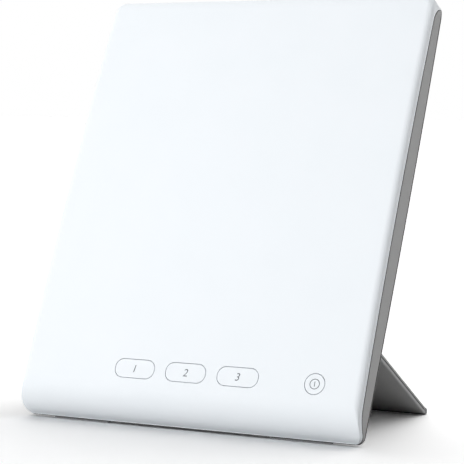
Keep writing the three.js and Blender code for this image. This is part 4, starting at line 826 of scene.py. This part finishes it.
def flap_path(inset):
    """Round the flap: along the hinge edge with its notches, up the right side, and back along the end. The
    inset moves every side but the hinge edge, which is round already."""
    wide, end, reach = FLAP_HALF_WIDTH - inset, FLAP_END - inset, NOTCH_REACH + inset
    up = np.append(barrel_steps, NOTCH_STEP)
    path = [[(-wide, -BARREL)]]
    start = -wide
    for middle in (-HINGE_X, HINGE_X):
        left, right = middle - NOTCH_HALF - inset, middle + NOTCH_HALF + inset
        path += [run((start, -BARREL), (left, -BARREL), 12)[1:], coords(left, up),
                 run((left, reach), (right, reach), 4), [(right, reach)], coords(right, up)[::-1]]
        start = right
    path += [run((start, -BARREL), (wide, -BARREL), 5)[1:], coords(wide, barrel_steps)[:-1],
             walk((wide, 0, 16), (wide, end, 36), (-wide, end, 16), (-wide, 0, 0)),
             coords(-wide, barrel_steps)[:0:-1]]
    return np.concatenate(path)


def flap_height(along):
    """Half the flap's thickness: a circle's height over the barrel, and the full half beyond it."""
    return np.sqrt(np.maximum(FLAP_HALF ** 2 - np.minimum(along, 0) ** 2, SPLIT ** 2))


def in_flap(spots):
    """How far plan points lie inside the flap's outline."""
    x, along = abs(spots[:, 0]), spots[:, 1]
    notch = np.maximum(abs(x - HINGE_X) - NOTCH_HALF, along - NOTCH_REACH)
    return np.minimum.reduce([FLAP_HALF_WIDTH - x, along + BARREL, FLAP_END - along, notch])


barrel_rows = np.meshgrid(np.linspace(-140, 140, 61), joined(barrel_steps[1:], [0.4, 1.2, 3.0]))
flap_spots = joined(coords(*barrel_rows).reshape(-1, 2), spread(-140, 140, 6, 121, 7))
for side, name, node, screws in SHELLS:
    skin = Skin()
    rings = []
    for inset, drop in turns(SHELL_ROUND):
        spots = flap_path(inset)
        rings.append(at_depth(spots, side * np.maximum(flap_height(spots[:, 1]) - drop, SPLIT)))
    top, low = skin.tube(*rings, at_depth(flap_path(0), side * SPLIT))
    hollow = outline_of(*HOLLOW, 0, 5, 12)
    rim, ceiling = skin.tube(at_depth(hollow, side * SPLIT), at_depth(hollow, side * CEILING))
    recesses, bosses = [], []
    for x, y in screws:
        first, last = skin.tube(*circles(
            x, y, (RECESS_MOUTH, -FLAP_HALF), (RECESS, RECESS_EDGE - FLAP_HALF),
            (RECESS, -CEILING), (STAND_HOLE, -CEILING), (STAND_HOLE, -SPLIT), (BOSS, -SPLIT),
            (BOSS, -CEILING)))
        recesses.append(first)
        bosses.append(last)
    mouths = [disc(x, y, RECESS_MOUTH) for x, y in screws]
    skin.plate([top, *recesses],
               lambda spots: np.minimum.reduce([in_flap(spots) - SHELL_ROUND * (spots[:, 1] > 0)]
                                               + [beyond(spots, *mouth) for mouth in mouths]),
               lambda along: side * flap_height(along), flap_spots)
    skin.plate([low, rim], lambda spots: np.minimum(in_flap(spots), beyond(spots, *HOLLOW)), side * SPLIT)
    skin.plate([ceiling, *bosses], within(HOLLOW, 0, *[(disc(x, y, BOSS), 0) for x, y in screws]),
               side * CEILING)
    dress(skin.make(name, fold, GREY_ABS), "stand", node)

# Screws: cross-recessed pan heads in zinc-plated steel, cold headed and rolled. Six hold the housing, four
# the flap's shells together, and two each hinge bracket to the pocket's floor. Each kind has its word in the
# node names, its body and that body's frame, the places, the depth under the head, the way the head points,
# and (radius, length, radius and height of the head).
SCREWS = {
    "housing": ("housing", "panel", lean, SCREW_PLACES, 22.462, 1, (1.25, 8, 3, 2.2)),
    "bracket": ("bracket", "panel", lean, BRACKET_SCREWS, POCKET_DEPTH - 1.1, 1, (1, 3, 2.1, 1.1)),
    "flap": ("stand", "stand", fold, STAND_SCREWS, -CEILING, -1, (1, 2.6, 2.1, 1.1)),
}

# Zinc plating on steel: a cool grey metal with a soft, slightly cloudy lustre
ZINC_STEEL = new_material("zinc_plated_steel", "#a9acb0", 0.36, (3.0, "#9fa2a6", "#b2b5b8", 3.0),
                          patches=(2.0, 0.28, 0.44), Metallic=1.0)


def cross(angle, arm, half):
    """Radius of a cross with arms `arm` long and 2 half wide: the nearer of an arm's end and its side."""
    off = np.abs((angle + np.pi / 4) % (np.pi / 2) - np.pi / 4)
    return np.minimum(arm / np.cos(off), half / np.maximum(np.sin(off), 1e-3))


def screw_rings(spot, way, radius, length, head, high):
    """Rings about the screw's line, (radius, distance along it from under the head), with the cross let in.
    The head's rim is rounded by 0.18 of its height, and the cross is given as shares of the head."""
    angle = np.linspace(0, 2 * np.pi, 65)[:-1]
    edge = 0.18 * high
    rings = [(0.001, -length), (radius, radius - length), (radius, 0), (head, 0), (head, high - 2 * edge),
             (head - 0.3 * edge, high - edge), (head - 1.2 * edge, high - 0.2 * edge),
             (head - 2.5 * edge, high), (0.8 * head, high), (cross(angle, 0.6 * head, 0.17 * head), high),
             (cross(angle, 0.34 * head, 0.12 * head), 0.42 * high), (0.001, 0.32 * high)]
    return np.array([spot + coords(reach * np.cos(angle), way * along, reach * np.sin(angle))
                     for reach, along in rings])


for kind, (of_kind, body, place, spots, depth, way, size) in SCREWS.items():
    for i, (x, z) in enumerate(spots, 1):
        piece = rod(f"{kind}_screw_head_{i}", screw_rings((x, depth, z), way, *size), place, ZINC_STEEL)
        dress(piece, body, f"{of_kind}_screw_{i}")

# Hinges: each has a stamped steel bracket with two ears, a pin, and a leaf whose knuckle is curled round the
# pin and grips it, so that the flap stays where it is put. The socket is a moulded block with a steel pin in
# its bore. These keep the solids' shapes, and only their edges are broken.


# Glass-filled black plastic: nearly matt, with a faint flow pattern
BLACK_PLASTIC = new_material("glass_filled_black_plastic", "#1c1c1e", 0.5, (2.0, "#18181a", "#232325", 3.0),
                             (0.8, 0.02, 0.6, 2.0), IOR=1.5)


def softened(node, name, body, material, width_mm):
    """A merged copy of a CAD piece with its edges broken, as a press tool or a mould leaves them."""
    mesh = frame["nodes"][node].data.copy()
    merge_doubles(mesh, 1e-6, math.radians(1))
    mesh.shade_smooth()
    mesh.set_sharp_from_angle(angle=SHARP_ANGLE)
    only_material(mesh, material)
    piece = put_in(name, mesh)
    bevelled(piece, width_mm)
    dress(piece, body, node)


for kind, body in (("bracket", "panel"), ("pin", "panel"), ("leaf", "stand")):
    for node in (f"hinge_{kind}_left", f"hinge_{kind}_right"):
        softened(node, f"{node}_finished", body, ZINC_STEEL, 0.12)
softened("dc_inlet", "power_socket", "panel", BLACK_PLASTIC, 0.2)

# Inside: what the cover and housing hide. The frame, tray and key guide are white ABS, the diffuser a matt
# sheet, and the plate that carries the LED boards is rolled aluminium. Boards, leads and switches are
# bought-in parts.
WHITE_ABS = new_material("white_abs", "#e6e6e2", 0.5, (8, "#e1e1dd", "#eaeae7"), (0.8, 0.03, 0.5), IOR=1.53)
DIFFUSER_SHEET = new_material("matt_polystyrene_sheet", "#f3f3ef", 0.75, (12, "#f0f0ec", "#f5f5f2"),
                              (0.4, 0.02, 0.6), IOR=1.59)

# Rolled aluminium: fine straight marks along the rolling direction, here across the plate
ALUMINIUM = new_material("rolled_aluminium", "#c6c8ca", 0.38, Metallic=1.0,
                         patches=(1000, 0.3, 0.48, 2.0, 0.5, (8.0, 900.0, 900.0)))

# Solder mask over glass cloth: the weave, about 0.5 mm, shows faintly through the lacquer
GREEN_BOARD = new_material("green_solder_mask", "#1f5d3a", 0.35, (0.8, "#1b5635", "#246641", 3.0), IOR=1.5)
WHITE_BOARD = new_material("white_solder_mask", "#ecece7", 0.35, (0.8, "#e8e8e3", "#f0f0ec", 3.0), IOR=1.5)

# Soft PVC skin on the leads, and polyester film on the ribbon
LEAD_SKIN = new_material("soft_pvc", "#2a2a2c", 0.5, (3, "#262628", "#303032"), IOR=1.53)
RIBBON_FILM = new_material("polyester_film", "#e4e4de", 0.3, (5, "#dfdfd9", "#e8e8e3"), IOR=1.57)

INNER_FINISHES = [
    (WHITE_ABS, ["inner_frame", "reflector_tray", "key_carrier"]), (DIFFUSER_SHEET, ["diffuser_sheet"]),
    (ALUMINIUM, ["chassis_plate"]), (GREEN_BOARD, ["driver_board", "key_board"]),
    (LEAD_SKIN, ["power_lead", "led_lead"]), (RIBBON_FILM, ["key_ribbon"]),
    (WHITE_BOARD, [f"led_bar_{i}" for i in range(1, 7)]),
    (BLACK_PLASTIC, [f"key_{part}_{i}" for part in ("switch", "plunger") for i in range(1, 5)]),
]
for material, names in INNER_FINISHES:
    for node in names:
        only_material(frame["nodes"][node].data, material)

# Floor: a white sheet that runs on under the lamp and out of view, and takes its soft shadow. It shows a
# lighter tone to the camera than to the light that bounces off it.
FLOOR_HALF = 12.0
FLOOR_TO_LIGHT, FLOOR_TO_CAMERA = 0.85, 1.62
floor_mesh = bpy.data.meshes.new("floor")
corners = [(FLOOR_HALF * x, FLOOR_HALF * y, 0) for x, y in ((-1, -1), (1, -1), (1, 1), (-1, 1))]
floor_mesh.from_pydata(corners, [], [(0, 1, 2, 3)])
white_sheet = bpy.data.materials.new("white_sheet")
white_sheet.use_nodes = True
tree = white_sheet.node_tree
tree.nodes.remove(tree.nodes["Principled BSDF"])
seen = add_node(tree, "ShaderNodeLightPath").outputs["Is Camera Ray"]
tone = add_node(tree, "ShaderNodeMapRange",
                {"Value": seen, "To Min": FLOOR_TO_LIGHT, "To Max": FLOOR_TO_CAMERA}).outputs["Result"]
sheet = add_node(tree, "ShaderNodeBsdfDiffuse", {"Color": tone}).outputs["BSDF"]
tree.links.new(sheet, tree.nodes["Material Output"].inputs["Surface"])
floor_mesh.materials.append(white_sheet)
floor = put_in("floor", floor_mesh)

# Light: a white room, dim in front and bright behind, and one broad soft lamp low in front, on the viewer's
# left. The lamp leaves the floor alone and makes no highlight. The camera, reflections and what is seen
# through clear things meet the room as plain white.
ROOM_FRONT, ROOM_BACK = 0.04, 1.6
DIM_UNTIL, BRIGHT_FROM = -0.3, 0.6
LAMP_PLACE, LAMP_AIM = Vector((-0.8, -2.45, 1.25)), Vector((0, 0, 0.17))
LAMP_SIZE, LAMP_POWER = 1.5, 71
world = bpy.data.worlds.new("white_room")
bpy.context.scene.world = world
world.use_nodes = True
tree = world.node_tree
around = add_node(tree, "ShaderNodeTexCoord").outputs["Generated"]
way = add_node(tree, "ShaderNodeSeparateXYZ", {"Vector": around})
level = add_node(tree, "ShaderNodeMapRange",
                 {"Value": way.outputs["Y"], "From Min": DIM_UNTIL, "From Max": BRIGHT_FROM,
                  "To Min": ROOM_FRONT, "To Max": ROOM_BACK}, interpolation_type="SMOOTHSTEP")
room = tree.nodes["Background"]
room.inputs["Color"].default_value = (1, 1, 1, 1)
tree.links.new(level.outputs[0], room.inputs["Strength"])
path = add_node(tree, "ShaderNodeLightPath")
seen = path.outputs["Is Camera Ray"]
for kind in ("Is Glossy Ray", "Is Transmission Ray"):
    seen = add_node(tree, "ShaderNodeMath", {0: seen, 1: path.outputs[kind]}, operation="MAXIMUM").outputs[0]
plain = add_node(tree, "ShaderNodeBackground", {"Color": (1, 1, 1, 1), "Strength": 1.0})
either = add_node(tree, "ShaderNodeMixShader", {0: seen, 1: room.outputs[0], 2: plain.outputs[0]})
tree.links.new(either.outputs[0], tree.nodes["World Output"].inputs["Surface"])
lamp_data = bpy.data.lights.new("soft_lamp", "AREA")
lamp_data.shape, lamp_data.size, lamp_data.energy = "DISK", LAMP_SIZE, LAMP_POWER
lamp = put_in("soft_lamp", lamp_data)
lamp.location = LAMP_PLACE
lamp.rotation_euler = (LAMP_AIM - LAMP_PLACE).to_track_quat("-Z", "Y").to_euler()
lamp.visible_glossy = False
left_dark = bpy.data.collections.new("kept_out_of_the_lamp")
left_dark.objects.link(floor)
left_dark.collection_objects[0].light_linking.link_state = "EXCLUDE"
lamp.light_linking.receiver_collection = left_dark
bpy.context.scene.view_settings.view_transform = "Standard"
